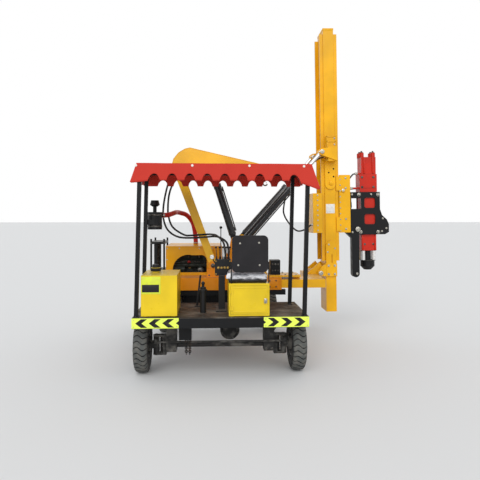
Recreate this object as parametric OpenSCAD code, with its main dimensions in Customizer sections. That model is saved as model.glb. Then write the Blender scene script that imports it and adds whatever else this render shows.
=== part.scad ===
// Wheeled pile driver rig for road guardrail posts.
// Modelled with x to the machine's right, y forward and z up, from the middle of the deck's rear
// edge at ground level, then moved so that the origin is under the middle of its bounding box.

/* [Deck and frame] */
// Width of the deck
deck_w = 1852; // [1800:2:1900]
// Length of the deck
deck_l = 950; // [900:10:980]
// Height of the deck's top face
deck_top = 680; // [672:2:720]
// Thickness of the deck plate
deck_t = 8; // [5:1:12]
// Depth of the black beam along the deck's rear edge
beam_h = 102; // [90:1:115]
// Sideways distance from the middle to the middle of each frame rail
rail_x = 530; // [520:2:536]
// Width of a frame rail
rail_w = 110; // [90:2:120]
// Length of the frame
frame_l = 2900; // [2860:10:3100]

/* [Wheels and axles] */
// Diameter over a tyre's lugs
tyre_d = 600; // [570:2:620]
// Width of a tyre
tyre_w = 162; // [150:1:170]
// Height of a lug
lug_h = 14; // [10:1:20]
// Number of lugs on each shoulder
lug_n = 30; // [18:1:32]
// Diameter of a rim
rim_d = 260; // [240:2:280]
// Distance of the rear axle from the deck's rear edge
rear_y = 450; // [440:5:480]
// Distance between the axles
wheelbase = 2000; // [1960:5:2100]
// Sideways distance from the middle to a rear wheel's middle plane
rear_x = 866; // [860:1:880]
// Sideways distance from the middle to a front wheel's middle plane
front_x = 800; // [780:1:820]
// Sideways distance from the middle to a kingpin
kingpin_x = 716; // [710:1:722]
// Diameter of the rear axle tube
axle_d = 67; // [60:1:80]
// Length of a steering arm, towards the rear
steer_arm = 110; // [104:1:120]

/* [Boxes and seat] */
// Width of the tank box
tank_w = 375; // [340:1:380]
// Length of the tank box
tank_l = 590; // [500:5:620]
// Height of the tank box
tank_h = 426; // [380:2:440]
// Width of the seat box
seat_box_w = 428; // [400:1:440]
// Length of the seat box
seat_box_l = 470; // [440:5:475]
// Height of the seat box
seat_box_h = 343; // [320:1:360]
// Thickness of the seat box's walls and door
box_wall = 6; // [4:1:10]
// Thickness of the seat cushion
cushion_t = 112; // [90:1:120]
// Height of the backrest
back_h = 388; // [350:2:400]

/* [Canopy] */
// Width of the canopy's roof
canopy_w = 1832; // [1820:2:1900]
// Length of the canopy's roof
canopy_l = 1000; // [980:5:1040]
// Height of the canopy's top
canopy_z = 2290; // [2250:5:2350]
// Sideways lean of the posts in degrees
post_lean = 1.4; // [0:0.1:1.6]
// Size of a square post
post_w = 42; // [36:1:46]
// Longest drop of the valance
valance_h = 180; // [170:1:190]
// Depth of a scallop
scallop_h = 74; // [60:1:80]

/* [Engine] */
// Width of the engine cover
cover_w = 738; // [720:1:744]
// Height of the engine cover above the cross slide
cover_h = 386; // [376:2:400]
// Length of the engine block, across the machine
engine_l = 600; // [560:5:610]
// Height of the engine block
engine_h = 470; // [440:5:480]

/* [Cross slide] */
// Length of the outer sleeve
sleeve_l = 1516; // [1500:2:1530]
// Height of the outer sleeve
sleeve_h = 156; // [150:1:164]
// Depth of the outer sleeve
sleeve_d = 450; // [440:2:456]
// Thickness of the sleeve's walls
sleeve_t = 20; // [16:1:22]
// Length of the inner beam
inner_l = 1828; // [1780:2:1836]
// Thickness of the inner beam's walls
inner_t = 14; // [10:1:18]

/* [Mast] */
// Width of the mast column
mast_w = 146; // [136:1:150]
// Depth of the mast column
mast_d = 350; // [340:2:356]
// Height of the mast's top
mast_top = 4381; // [4350:1:4500]
// Height of the mast's foot
mast_foot = 403; // [390:1:460]
// Thickness of the mast column's walls
mast_t = 10; // [8:1:14]
// Lean of the parked mast in degrees, with its top towards the left when negative
mast_lean = -0.8; // [-2:0.1:0.2]
// Reach of a guide rail beside the column
rail_out = 50; // [46:1:54]
// Thickness of a guide rail
rail_t = 20; // [16:1:22]
// Diameter of the tilt cylinders' barrels
tilt_d = 100; // [90:1:104]
// Diameter of the tilt cylinders' rods
tilt_rod_d = 50; // [40:1:56]

/* [Hammer] */
// Width of the red hammer body
hammer_w = 212; // [200:2:220]
// Depth of the red hammer body
hammer_d = 200; // [190:2:206]
// Thickness of the black side plates
side_t = 25; // [20:1:30]
// Diameter of the drive cap
cap_d = 202; // [190:2:216]

/* [Jib] */
// Thickness of the jib from side to side
jib_t = 116; // [110:2:120]
// Diameter of the jib cylinder's barrel
jib_cyl_d = 92; // [80:1:96]
// Diameter of the jib cylinder's rod
jib_rod_d = 50; // [40:1:56]

/* [Hidden] */
$fn = 48;

// Colours
yellow = [0.96, 0.76, 0.08];
orange = [0.90, 0.52, 0.05];
black = [0.08, 0.08, 0.09];
dark = [0.16, 0.16, 0.16];
red = [0.80, 0.12, 0.08];
steel = [0.75, 0.76, 0.78];

// Running fits
fit = 0.05;      // radial clearance of a pin in its bore
gap = 0.3;       // clearance between neighbouring faces of two bodies
side_gap = 0.5;  // clearance of a cylinder's eye between its ears

// Wheels
tyre_r = tyre_d / 2;
lug_share = 0.78;                                   // share of a lug's pitch that the lug fills
lug_half = 180 / lug_n * lug_share;                 // half the angle that a lug spans
axle_z = tyre_r * cos(180 / lug_n - lug_half);      // a tyre stands on two lugs' edges
front_y = rear_y + wheelbase;
spindle_d = 50;
hub_in = 62;         // from a wheel's middle plane in to its hub's inner face
kingpin_d = 40;
knuckle_h = 180;
jaw_t = 22;
arm_t = 24;
arm_z = axle_z + 62;
ball_d = 22;
eye_d = 46;
case_x = 116;        // sideways place of the transfer case and the drive shaft
pinion_l = 190;

// Frame
frame_top = deck_top - deck_t;
frame_bot = frame_top - beam_h;
rail_in = rail_x - rail_w / 2;
rail_outer = rail_x + rail_w / 2;
edge_t = 12;
chain_box = [-455, -318];
chain_y = 300;
chain_top = 385;
slide_z = deck_top + 126;  // underside of the outer sleeve
bearer_h = 66;
mount_y = [1690, 2110];
mount_h = 156;
stand_y = [1640, 2140];
radiator_x = [-925, -727];

// Boxes and seat
tank_x0 = 91 - deck_w / 2;
tank_y0 = 40;
foot_h = 12;
seat_x0 = 82;
seat_x1 = seat_x0 + seat_box_w;
seat_y0 = 30;
seat_y1 = seat_y0 + seat_box_l;
seat_z0 = deck_top + 6;
seat_z1 = seat_z0 + seat_box_h;
door_inset = 14;
door_gap = 2;
door_z0 = seat_z0 + 20;
door_z1 = seat_z1 - 24;
hinge_d = 16;
back_x = [seat_x0 + 32, seat_x1 - 13];  // sides of the backrest
cushion_x = [seat_x0 - 20, seat_x1 - 5];  // the cushion hangs over the box on its left

// Canopy posts: [distance in from the roof's edge, side, y] at the foot
POSTS = [
    for (p = [[30, -1, 52], [30, 1, 52], [16, -1, 740], [76, 1, 780]]) [p[1] * (canopy_w / 2 - p[0]), p[2]]
];
roof_t = 24;
bar_z0 = canopy_z - roof_t - post_w;
post_shift = tan(post_lean) * (canopy_z - deck_top);
valance_t = 10;
flare = 19;

// Engine
engine_x0 = -635;
engine_x1 = engine_x0 + engine_l;
engine_y = [1640, 2160];
cover_x0 = -698;
cover_x1 = cover_x0 + cover_w;
cover_y0 = 1418;
cover_y1 = 2260;
sheet_t = 6;
intake_at = [-311, 1600];

// Cross slide
sleeve_x0 = -725;
sleeve_x1 = sleeve_x0 + sleeve_l;
sleeve_y0 = 1120;
sleeve_y1 = sleeve_y0 + sleeve_d;
sleeve_top = slide_z + sleeve_h;
inner_x1 = 1363;
inner_x0 = inner_x1 - inner_l;
inner_y0 = sleeve_y0 + sleeve_t + gap;
inner_y1 = sleeve_y1 - sleeve_t - gap;
inner_z0 = slide_z + sleeve_t + gap;
inner_h = 106;
inner_z1 = inner_z0 + inner_h;
slide_in = 150;      // travel inwards from rest
slot_gap = 10;
neck_x = [640, 776];
neck_y = [sleeve_y0 + 130, sleeve_y0 + 330];
riser_x0 = 965;
saddle_x = [405, 1045];
saddle_y0 = sleeve_y0 + 50;
saddle_y1 = sleeve_y0 + 380;
saddle_z0 = sleeve_top + gap;
saddle_t = 22;
saddle_top = saddle_z0 + saddle_t;
arm_x0 = 1230;
foot_x = [435, 605]; // pedestal beam that carries the tilt cylinders' feet
foot_h_beam = 110;
tie_y = [2150, 2272];
tie_z = [700, 800];

// Mast
mast_x = 1580;
mast_y0 = 1750;
mast_y1 = mast_y0 + mast_d;
mast_x0 = mast_x - mast_w / 2;
mast_x1 = mast_x + mast_w / 2;
rail_back = 15;      // from the column's rear or front face in to a guide rail
mast_rail_z = [1115, 4301];
pivot = [1421, 950];
pivot_d = 50;
pivot_ear_t = 25;
ear_t = 20;
foot_z = [900, 1080];
wrap_t = 25;
head_at = [1433, 2625];      // rod eyes of the tilt cylinders on the upright mast
head = leaned(head_at);
head_z = [2500, 2857];
eye_w = 70;          // width of a cylinder's eye
eye_room = eye_w / 2 + side_gap;
tilt_pin_d = 40;
// Tilt cylinders: [plane y, foot x, foot z, barrel length]
TILT = [[1620, 285, 1340, 1060], [2212, 345, 1435, 1010]];
rod_start = 450;     // from the foot pin to the rod's inner end at rest

// Carriage and hammer
carriage_x1 = 1865;
carriage_z = [1509, 2319];
carriage_t = 20;
slide_gap = 0.5;     // clearance of the carriage's fingers on the guide rails
wall_gap = 5;        // clearance of its plates beside them
housing_x = [1881, 2307];
housing_z = [1474, 2078];
hammer_x = 2152;
hammer_y = mast_y0 + mast_d / 2;
leg_w = 105;
leg_d = 100;
leg_z = 922;
body_z = [1245, 2334, 2578];
bump_x = 2433;
bump_z = [1506, 1619];
cap_z = 968;

// Jib
jib_y = sleeve_y0 + 180;
jib_foot = [-80, sleeve_top + 146];
jib_eye = [-92, 2350];
jib_cyl_foot = [197, sleeve_top + 470];
jib_pin_d = 40;
jib_barrel_l = 760;
jib_rod_start = 250;
hook_pin = [600, 2262];
hook_pin_d = 16;
hook_r = 28;

// Bounding box, from the parts that reach furthest
flare_x = post_shift - canopy_w / 2 + 2 - valance_h * sin(flare) - valance_t / 2 * cos(flare);
x_min = min(-rear_x - tyre_w / 2, flare_x);
x_max = leaned([bump_x, bump_z[0]])[0];
y_min = -3;
y_max = frame_l;
origin_x = (x_min + x_max) / 2;
origin_y = (y_min + y_max) / 2;

// A point of the upright mast, [x, z], where the parked mast has it
function leaned(p) = let (d = p - pivot)
    pivot + [d[0] * cos(mast_lean) + d[1] * sin(mast_lean), d[1] * cos(mast_lean) - d[0] * sin(mast_lean)];

// Puts pieces of the upright mast where the parked mast has them
module on_mast() {
    translate([pivot[0], 0, pivot[1]]) rotate([0, mast_lean, 0]) translate([-pivot[0], 0, -pivot[1]]) children();
}

// A box between two corners
module slab(x, y, z) {
    translate([x[0], y[0], z[0]])
        cube([x[1] - x[0], y[1] - y[0], z[1] - z[0]]);
}

// A round bar along x, y or z
module bar_x(y, z, d, x0, x1) {
    translate([x0, y, z]) rotate([0, 90, 0]) cylinder(h = x1 - x0, d = d);
}
module bar_y(x, z, d, y0, y1) {
    translate([x, y0, z]) rotate([-90, 0, 0]) cylinder(h = y1 - y0, d = d);
}
module bar_z(x, y, d, z0, z1) {
    translate([x, y, z0]) cylinder(h = z1 - z0, d = d);
}

// A round bar from one point to another
module bar(from, to, d) {
    run = to - from;
    translate(from)
        rotate([0, acos(run[2] / norm(run)), atan2(run[1], run[0])])
            cylinder(h = norm(run), d = d);
}

// A hose swept along a path as one solid. across is a direction that the path never runs in
module hose(path, d, across, sides = 12) {
    n = len(path);
    along = [for (i = [0 : n - 1]) unit(path[min(i + 1, n - 1)] - path[max(i - 1, 0)])];
    rings = [
        for (i = [0 : n - 1])
            let (u = unit(cross(along[i], across)), v = cross(along[i], u))
                for (k = [0 : sides - 1]) path[i] + d / 2 * (cos(360 * k / sides) * u + sin(360 * k / sides) * v)
    ];
    walls = [
        for (i = [0 : n - 2])
            for (k = [0 : sides - 1])
                let (a = i * sides + k, b = i * sides + (k + 1) % sides) each [
                    [a, a + sides, b + sides], [a, b + sides, b]
                ]
    ];
    ends = [[for (k = [0 : sides - 1]) k], [for (k = [0 : sides - 1]) n * sides - 1 - k]];
    polyhedron(points = rings, faces = concat(walls, ends));
}
function unit(v) = v / norm(v);

// Points on one smooth curve through the points of a path, steps to each span
function smooth(path, steps) = [
    for (i = [0 : len(path) - 2])
        let (a = path[max(i - 1, 0)], b = path[i], c = path[i + 1], d = path[min(i + 2, len(path) - 1)])
            for (k = [0 : steps - 1])
                let (t = k / steps)
                    b + t * (c - a) / 2 + t * t * (a - 2.5 * b + 2 * c - d / 2) + t * t * t * (1.5 * b - 1.5 * c + (d - a) / 2),
    path[len(path) - 1]
];

// A plate cut from an outline in the x-z plane, between two y values
module plate_xz(y0, y1) {
    translate([0, y1, 0]) rotate([90, 0, 0]) linear_extrude(height = y1 - y0) children();
}

// Places children on a line in the x-z plane, with z running along it from its first point
module along_xz(y, from, to) {
    run = to - from;
    translate([from[0], y, from[1]]) rotate([0, atan2(run[0], run[1]), 0]) children();
}

// A rectangle with round corners
module rounded(w, h, r) {
    translate([r, 0]) square([w - 2 * r, h]);
    translate([0, r]) square([w, h - 2 * r]);
    for (x = [r, w - r])
        for (y = [r, h - r])
            translate([x, y]) circle(r = r, $fn = 32);
}

// Everything on both sides of the middle
module both_sides() {
    children();
    mirror([1, 0, 0]) children();
}

// Moves a node into the frame of the finished part
module place() {
    translate([-origin_x, -origin_y, 0]) children();
}

module frame() {
    bearer_y = [[sleeve_y0 + 20, sleeve_y0 + 80], [sleeve_y1 - 80, sleeve_y1 - 20]];
    bearer_z = slide_z - bearer_h;
    color(black) union() {
        both_sides() slab([rail_in, rail_outer], [edge_t, frame_l], [frame_bot, frame_top]);
        slab([-deck_w / 2, deck_w / 2], [0, edge_t], [frame_bot, frame_top]);
        slab([-rail_x, rail_x], [0, 60], [frame_bot, frame_top]);
        slab([-deck_w / 2, deck_w / 2], [deck_l - 50, deck_l], [frame_top - 60, frame_top]);
        slab([-rail_x - 100, rail_x + 100], [frame_l - 60, frame_l], [frame_bot, frame_top]);
        for (y = bearer_y) {
            slab([sleeve_x0 + 10, sleeve_x1 + 54], y, [bearer_z, slide_z]);
            both_sides() slab([rail_x - 50, rail_x + 50], y, [frame_top - 1, bearer_z + 1]);
        }
        for (y = mount_y)
            slab([-rail_x, rail_x], [y - 30, y + 30], [frame_top - mount_h, frame_top]);
        for (y = stand_y)
            slab([radiator_x[0] - 5, -rail_x], [y - 25, y + 25], [frame_top - 60, frame_top]);
        // Bracket that the earth chain hangs from
        slab([-rail_in - 1, chain_box[1]], [chain_y - 25, chain_y + 25], [frame_bot, frame_bot + 60]);
        slab(chain_box, [chain_y - 35, chain_y + 35], [chain_top, frame_bot + 1]);
    }
}

module deck() {
    color(dark) slab([-deck_w / 2, deck_w / 2], [0, deck_l], [frame_top, deck_top]);
}

module chevrons() {
    // Plates: [x from, x to]
    plates = [[-deck_w / 2, -441], [447, deck_w / 2]];
    color([0.80, 0.95, 0.20])
        for (p = plates) slab(p, [y_min, 0], [frame_bot + 4, deck_top]);
}

module rear_axle() {
    jaw_z = [axle_z - knuckle_h / 2 - gap - jaw_t, axle_z + knuckle_h / 2 + gap];
    leg_x = [rail_in + 13, 604];
    color(black) difference() {
        union() {
            bar_x(rear_y, axle_z, axle_d, -leg_x[1] + 4, leg_x[1] - 4);
            both_sides() {
                slab(leg_x, [rear_y - 70, rear_y + 70], [axle_z - 72, frame_bot]);
                slab([leg_x[1], leg_x[1] + 40], [rear_y - 36, rear_y + 36], [jaw_z[0], jaw_z[1] + jaw_t]);
                for (z = jaw_z) {
                    slab([leg_x[1], kingpin_x], [rear_y - 36, rear_y + 36], [z, z + jaw_t]);
                    bar_z(kingpin_x, rear_y, 72, z, z + jaw_t);
                }
            }
        }
        both_sides() bar_z(kingpin_x, rear_y, kingpin_d + 2 * fit, jaw_z[0] - 1, jaw_z[1] + jaw_t + 1);
    }
}

module front_axle() {
    hub_x = front_x - hub_in - gap;
    color(black) union() {
        bar_x(front_y, axle_z, 96, -hub_x + 20, hub_x - 20);
        both_sides() {
            slab([rail_in + 5, 594], [front_y - 80, front_y + 80], [axle_z - 70, frame_bot]);
            bar_x(front_y, axle_z, 150, hub_x - 60, hub_x);
            bar_x(front_y, axle_z, spindle_d, hub_x - 1, front_x + 30);
        }
        // Differential housing: a drum with a cone on each side, and the pinion's nose towards the rear
        bar_x(front_y, axle_z, 290, case_x - 62, case_x + 62);
        for (side = [-1, 1])
            translate([case_x + side * 61, front_y, axle_z]) rotate([0, side * 90, 0])
                cylinder(h = 100, d1 = 270, d2 = 110);
        bar_y(case_x, axle_z, 120, front_y - pinion_l, front_y - 40);
    }
}

module transfer_case() {
    case_y = [700, 900];
    case_z = 397;
    hanger_z = [frame_top - 70, frame_top - 20];
    color(black) union() {
        bar_y(case_x, case_z, 228, case_y[0], case_y[1]);
        bar_y(case_x, case_z, 150, case_y[0] - 50, case_y[0]);
        slab([case_x - 70, case_x + 70], [case_y[0] + 40, case_y[1] - 40], [case_z, hanger_z[0] + 1]);
        slab([-rail_in, rail_in], [case_y[0] + 40, case_y[1] - 40], hanger_z);
        bar_y(case_x, axle_z, 64, case_y[1] - 20, front_y - pinion_l);
    }
}

// Right steering knuckle: kingpin, boss, spindle and steering arm; the left one is its mirror image
module knuckle() {
    pin_z = [axle_z - knuckle_h / 2 - jaw_t - 6, axle_z + knuckle_h / 2 + jaw_t + 6];
    hub_x = rear_x - hub_in - gap;
    arm_y = rear_y - steer_arm;
    color(black) union() {
        bar_z(kingpin_x, rear_y, 72, axle_z - knuckle_h / 2, axle_z + knuckle_h / 2);
        bar_z(kingpin_x, rear_y, kingpin_d, pin_z[0], pin_z[1]);
        bar_x(rear_y, axle_z, 90, kingpin_x, hub_x - 26);
        bar_x(rear_y, axle_z, 150, hub_x - 28, hub_x);
        bar_x(rear_y, axle_z, spindle_d, hub_x - 1, rear_x + 30);
        slab([kingpin_x - 18, kingpin_x + 18], [arm_y, rear_y], [arm_z, arm_z + arm_t]);
        bar_z(kingpin_x, arm_y, eye_d, arm_z, arm_z + arm_t);
        bar_z(kingpin_x, arm_y, ball_d, arm_z - arm_t - 2 * gap - 4, arm_z + 1);
    }
}

module tie_rod() {
    rod_z = arm_z - gap - arm_t;
    arm_y = rear_y - steer_arm;
    color(steel) difference() {
        union() {
            both_sides() bar_z(kingpin_x, arm_y, eye_d, rod_z, rod_z + arm_t);
            bar_x(arm_y, rod_z + arm_t / 2, arm_t - 1, -kingpin_x + eye_d / 2 - 6, kingpin_x - eye_d / 2 + 6);
        }
        both_sides() bar_z(kingpin_x, arm_y, ball_d + 2 * fit, rod_z - 1, rod_z + arm_t + 1);
    }
}

// A lugged tyre around the x axis, about its own middle
module tyre() {
    half = tyre_w / 2;
    bore_r = rim_d / 2;
    bead_half = half * 0.71;
    core_r = tyre_r - lug_h;
    lug_r = tyre_r * cos(lug_half);
    lug_w = 2 * tyre_r * sin(lug_half);
    lug_l = half + 8;
    color(dark) rotate([0, 90, 0]) union() {
        rotate_extrude($fn = 60) polygon([
            [bore_r, -bead_half], [bore_r + 34, -half + 4], [core_r - 44, -half], [core_r, -half + 22],
            [core_r, half - 22], [core_r - 44, half], [bore_r + 34, half - 4], [bore_r, bead_half]
        ]);
        // Two rows of lugs, the second half a pitch on from the first
        for (row = [0, 1])
            for (i = [0 : lug_n - 1])
                rotate([0, 0, (i + row / 2) * 360 / lug_n])
                    translate([core_r - 30, -lug_w / 2, row == 0 ? -half + 3 : half - 3 - lug_l])
                        cube([lug_r - core_r + 30, lug_w, lug_l]);
    }
}

// A steel rim with its disc and a hub bored for the spindle; its outer side points to +x
module rim() {
    r = rim_d / 2 - gap;
    lip = 8;
    well_half = tyre_w / 2 * 0.71 + 5;
    edge_half = well_half + 8;
    disc_x = 6;
    disc_w = 12;
    color(dark) rotate([0, 90, 0]) difference() {
        union() {
            rotate_extrude($fn = 60) polygon([
                [r - 8, -edge_half], [r + lip, -edge_half], [r + lip, -edge_half + 6], [r, -well_half],
                [r, well_half], [r + lip, edge_half - 6], [r + lip, edge_half], [r - 8, edge_half],
                [r - 14, well_half - 6], [r - 14, -well_half + 6]
            ]);
            translate([0, 0, disc_x]) cylinder(h = disc_w, r = r - 10);
            translate([0, 0, -hub_in]) cylinder(h = hub_in + 46, d = 110);
            for (i = [0 : 5])
                rotate([0, 0, i * 60]) translate([78, 0, disc_x + disc_w - 1]) cylinder(h = 15, d = 24, $fn = 6);
        }
        translate([0, 0, -hub_in - 1]) cylinder(h = hub_in + 32, r = spindle_d / 2 + fit);
    }
}

// Puts a wheel's piece at its axle's end: side is -1 for left and 1 for right
module wheel_at(side, x, y) {
    translate([side * x, y, axle_z]) rotate([0, 0, side < 0 ? 180 : 0]) children();
}

module tank_box() {
    x = [tank_x0, tank_x0 + tank_w];
    y = [tank_y0, tank_y0 + tank_l];
    z = [deck_top + foot_h, deck_top + foot_h + tank_h];
    cap_at = [x[0] + 120, y[0] + 330];
    color(yellow) union() {
        difference() {
            slab(x, y, z);
            slab([x[1] - 170, x[1] - 90], [y[0] + 90, y[0] + 114], [z[1] - 8, z[1] + 1]);
        }
        for (fx = [x[0] + 20, x[1] - 60])
            for (fy = [y[0] + 30, y[1] - 70])
                slab([fx, fx + 40], [fy, fy + 40], [deck_top, z[0] + 1]);
        bar_z(cap_at[0], cap_at[1], 84, z[1] - 1, z[1] + 20);
        bar_z(cap_at[0], cap_at[1], 104, z[1] + 19, z[1] + 52);
    }
}

module seat_box() {
    color(yellow) difference() {
        union() {
            slab([seat_x0, seat_x1], [seat_y0, seat_y1], [seat_z0, seat_z1]);
            for (x = [seat_x0 + 10, seat_x1 - 50])
                for (y = [seat_y0 + 10, seat_y1 - 50])
                    slab([x, x + 40], [y, y + 40], [deck_top, seat_z0 + 1]);
        }
        slab([seat_x0 + box_wall, seat_x1 - box_wall], [seat_y0 + box_wall, seat_y1 - box_wall],
             [seat_z0 + box_wall, seat_z1 - box_wall]);
        slab([seat_x0 + door_inset, seat_x1 - door_inset], [seat_y0 - 1, seat_y0 + box_wall + 1], [door_z0, door_z1]);
    }
}

module seat_box_door() {
    x = [seat_x0 + door_inset + door_gap, seat_x1 - door_inset - door_gap];
    hinge_y = seat_y0 - gap - hinge_d / 2;
    color(yellow) union() {
        slab(x, [seat_y0, seat_y0 + box_wall], [door_z0 + door_gap, door_z1 - door_gap]);
        for (z = [door_z0 + 40, door_z1 - 80]) {
            bar_z(x[0], hinge_y, hinge_d, z, z + 40);
            slab([x[0], x[0] + 30], [hinge_y, seat_y0 + 1], [z, z + 40]);
        }
        slab([x[1] - 44, x[1] - 12], [seat_y0 - 8, seat_y0 + 1], [seat_z0 + 130, seat_z0 + 190]);
    }
}

module seat_cushion() {
    color(black)
        translate([cushion_x[0], seat_y0 + 8, seat_z1 + gap])
            linear_extrude(height = cushion_t) rounded(cushion_x[1] - cushion_x[0], seat_box_l - 20, 45);
}

module seat_back() {
    back_z0 = seat_z1 + cushion_t + 6;
    color(black) union() {
        plate_xz(seat_y0 - 10, seat_y0 + 60)
            translate([back_x[0], back_z0]) rounded(back_x[1] - back_x[0], back_h, 50);
        // Flat arms that stand on the box behind the cushion
        for (x = [back_x[0] - 12, back_x[1]])
            slab([x - 1, x + 13], [seat_y0, seat_y0 + 7], [seat_z1, back_z0 + 110]);
    }
}

module canopy_frame() {
    reach = canopy_w / 2 - 12;
    bar_top = canopy_z - roof_t;
    socket_w = post_w + 8;
    color(black) union() {
        for (p = POSTS) {
            translate([p[0], p[1], deck_top + 4]) rotate([0, post_lean, 0])
                translate([-post_w / 2, -post_w / 2, 0]) cube([post_w, post_w, bar_z0 - deck_top]);
            slab([p[0] - 26, p[0] + 26], [p[1] - 42, p[1] + 42], [deck_top, deck_top + 8]);
            // Block that joins the post to the roof's bars
            translate([post_shift, p[1], 0])
                slab([max(-reach, p[0] - socket_w / 2), min(reach, p[0] + socket_w / 2)],
                     [-socket_w / 2, socket_w / 2], [bar_z0 - 8, bar_top]);
        }
        translate([post_shift, 0, 0]) {
            for (y = [POSTS[0][1], (POSTS[2][1] + POSTS[3][1]) / 2])
                slab([-reach, reach], [y - post_w / 2, y + post_w / 2], [bar_z0, bar_top]);
            for (x = [-reach, reach - 30])
                slab([x, x + 30], [POSTS[0][1] - post_w / 2, canopy_l - 12], [bar_z0, bar_top]);
        }
    }
}

// One scalloped edge that hangs below y = 0: n lobes with arches between them
module scallops(w, n) {
    pitch = w / n;
    arch_r = pitch * 0.28;
    arch_y = -valance_h + scallop_h - arch_r;
    difference() {
        translate([0, -valance_h]) square([w, valance_h]);
        for (i = [1 : n - 1]) {
            translate([i * pitch, arch_y]) circle(r = arch_r, $fn = 24);
            translate([i * pitch - arch_r, -valance_h - 1]) square([2 * arch_r, arch_y + valance_h + 1]);
        }
    }
}

module canopy() {
    rear_lobes = 10;
    side_lobes = 5;
    half = canopy_w / 2;
    color(red) translate([post_shift, 0, 0]) union() {
        slab([-half, half], [0, canopy_l], [canopy_z - roof_t + gap, canopy_z]);
        for (y = [0, canopy_l - valance_t])
            plate_xz(y, y + valance_t)
                translate([-half, canopy_z]) scallops(canopy_w, rear_lobes);
        for (side = [-1, 1])
            translate([side * (half - 2), 0, canopy_z - 6]) rotate([0, -side * flare, 0])
                translate([-valance_t / 2, 0, 0]) rotate([90, 0, 90])
                    linear_extrude(height = valance_t) scallops(canopy_l, side_lobes);
    }
}

module engine_block() {
    color(dark)
        slab([engine_x0, engine_x1], engine_y, [frame_top, frame_top + engine_h]);
}

module engine_parts() {
    top = frame_top + engine_h;
    mid_y = (engine_y[0] + engine_y[1]) / 2;
    port_z = top - 60;
    color(dark) union() {
        // Rocker cover
        slab([engine_x0 + 40, engine_x1 - 40], [engine_y[0] + 60, mid_y + 80], [top, top + 96]);
        // Exhaust manifold with its four runners and the outlet
        for (i = [0 : 3]) bar_y(engine_x0 + 90 + i * 140, port_z, 48, engine_y[0] - 52, engine_y[0]);
        bar_x(engine_y[0] - 50, port_z, 62, engine_x0 + 50, engine_x1 - 60);
        bar([engine_x1 - 150, engine_y[0] - 50, port_z], [engine_x1 - 150, engine_y[0] - 50, top + 70], 54);
        // Flywheel housing on the right
        bar_x(mid_y, frame_top + 230, 420, engine_x1, engine_x1 + 50);
        // Oil filter and alternator on the rear side, above the outer sleeve
        bar_y(engine_x0 + 385, sleeve_top + 56, 92, engine_y[0] - 118, engine_y[0]);
        bar_x(engine_y[0] - 62, sleeve_top + 70, 116, engine_x0 + 30, engine_x0 + 180);
        slab([engine_x0 + 80, engine_x0 + 120], [engine_y[0] - 30, engine_y[0]], [sleeve_top + 20, sleeve_top + 120]);
        // Fan pulley on the left
        bar_x(mid_y, frame_top + 300, 170, engine_x0 - 34, engine_x0);
        bar_x(mid_y, frame_top + 300, 60, engine_x0 - 50, engine_x0 - 33);
    }
}

module engine_cover() {
    top = sleeve_top + cover_h;
    // Arch: a wide round shoulder on the left, a tight one on the right and a level sill
    left_r = 204;
    left_at = [cover_x0 + 293, sleeve_top + 68];
    right_r = 73;
    right_at = [cover_x0 + 463, sleeve_top + 195];
    sill_z = sleeve_top + 40;
    color(yellow) union() {
        // Rear plate with the arched cut-out
        difference() {
            slab([cover_x0, cover_x1], [cover_y0, cover_y0 + sheet_t], [sleeve_top, top]);
            plate_xz(cover_y0 - 1, cover_y0 + sheet_t + 1) intersection() {
                union() {
                    translate(left_at) circle(r = left_r);
                    translate(right_at) circle(r = right_r);
                    translate([left_at[0], sill_z]) square([right_at[0] - left_at[0], right_at[1] + right_r - 2 - sill_z]);
                    translate([right_at[0] - 1, sill_z]) square([right_r + 1, right_at[1] - sill_z]);
                }
                translate([left_at[0] - left_r, sill_z]) square([2 * left_r + right_r, cover_h]);
            }
        }
        slab([cover_x0, cover_x1], [cover_y0 + sheet_t - 1, cover_y1], [top - sheet_t, top]);
        // Front grille
        difference() {
            slab([cover_x0, cover_x1], [cover_y1 - sheet_t, cover_y1], [frame_top, top]);
            for (i = [0 : 6])
                slab([cover_x0 + 100, cover_x1 - 100], [cover_y1 - sheet_t - 1, cover_y1 + 1],
                     [frame_top + 150 + i * 70, frame_top + 180 + i * 70]);
        }
        slab([cover_x1 - sheet_t, cover_x1], [cover_y0 + 1, cover_y0 + 80], [sleeve_top, top - 1]);
        bar_z(intake_at[0], intake_at[1], 64, top - 1, top + 24);
    }
}

module radiator() {
    z = [frame_top, 1435];
    bar_t = 24;
    core_z = [1000, z[1] - 70];
    color(black) union() {
        slab(radiator_x, [stand_y[0] - 25, stand_y[1] + 25], [z[0], z[0] + 10]);
        for (x = [radiator_x[0], radiator_x[1] - bar_t])
            for (y = [stand_y[0] - 25, stand_y[1] + 25 - bar_t])
                slab([x, x + bar_t], [y, y + bar_t], z);
        for (cz = [core_z[0] - 30, core_z[1]])
            slab([radiator_x[0] + 1, radiator_x[1] - 1], [stand_y[0] - 24, stand_y[1] + 24], [cz, cz + 30]);
        slab([radiator_x[0] + 53, radiator_x[0] + 93], [stand_y[0] - 10, stand_y[1] + 10], [core_z[0] - 1, core_z[1] + 1]);
    }
}

intake_out = [-696, 915, 1752];
module air_cleaner() {
    c = [-780, 860];
    post_face = POSTS[2][1] + post_w / 2 + gap;
    color(black) union() {
        bar_z(c[0], c[1], 172, 1581, 1789);
        bar_z(c[0], c[1], 44, 1788, 1860);
        translate([c[0], c[1], 1855]) cylinder(h = 20, d1 = 60, d2 = 118);
        translate([c[0], c[1], 1875]) cylinder(h = 55, d1 = 118, d2 = 90);
        slab([c[0] - 112, c[0] + 10], [post_face, c[1] - 40], [1640, 1700]);
        bar([c[0], c[1], intake_out[2]], intake_out, 60);
    }
}

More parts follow.
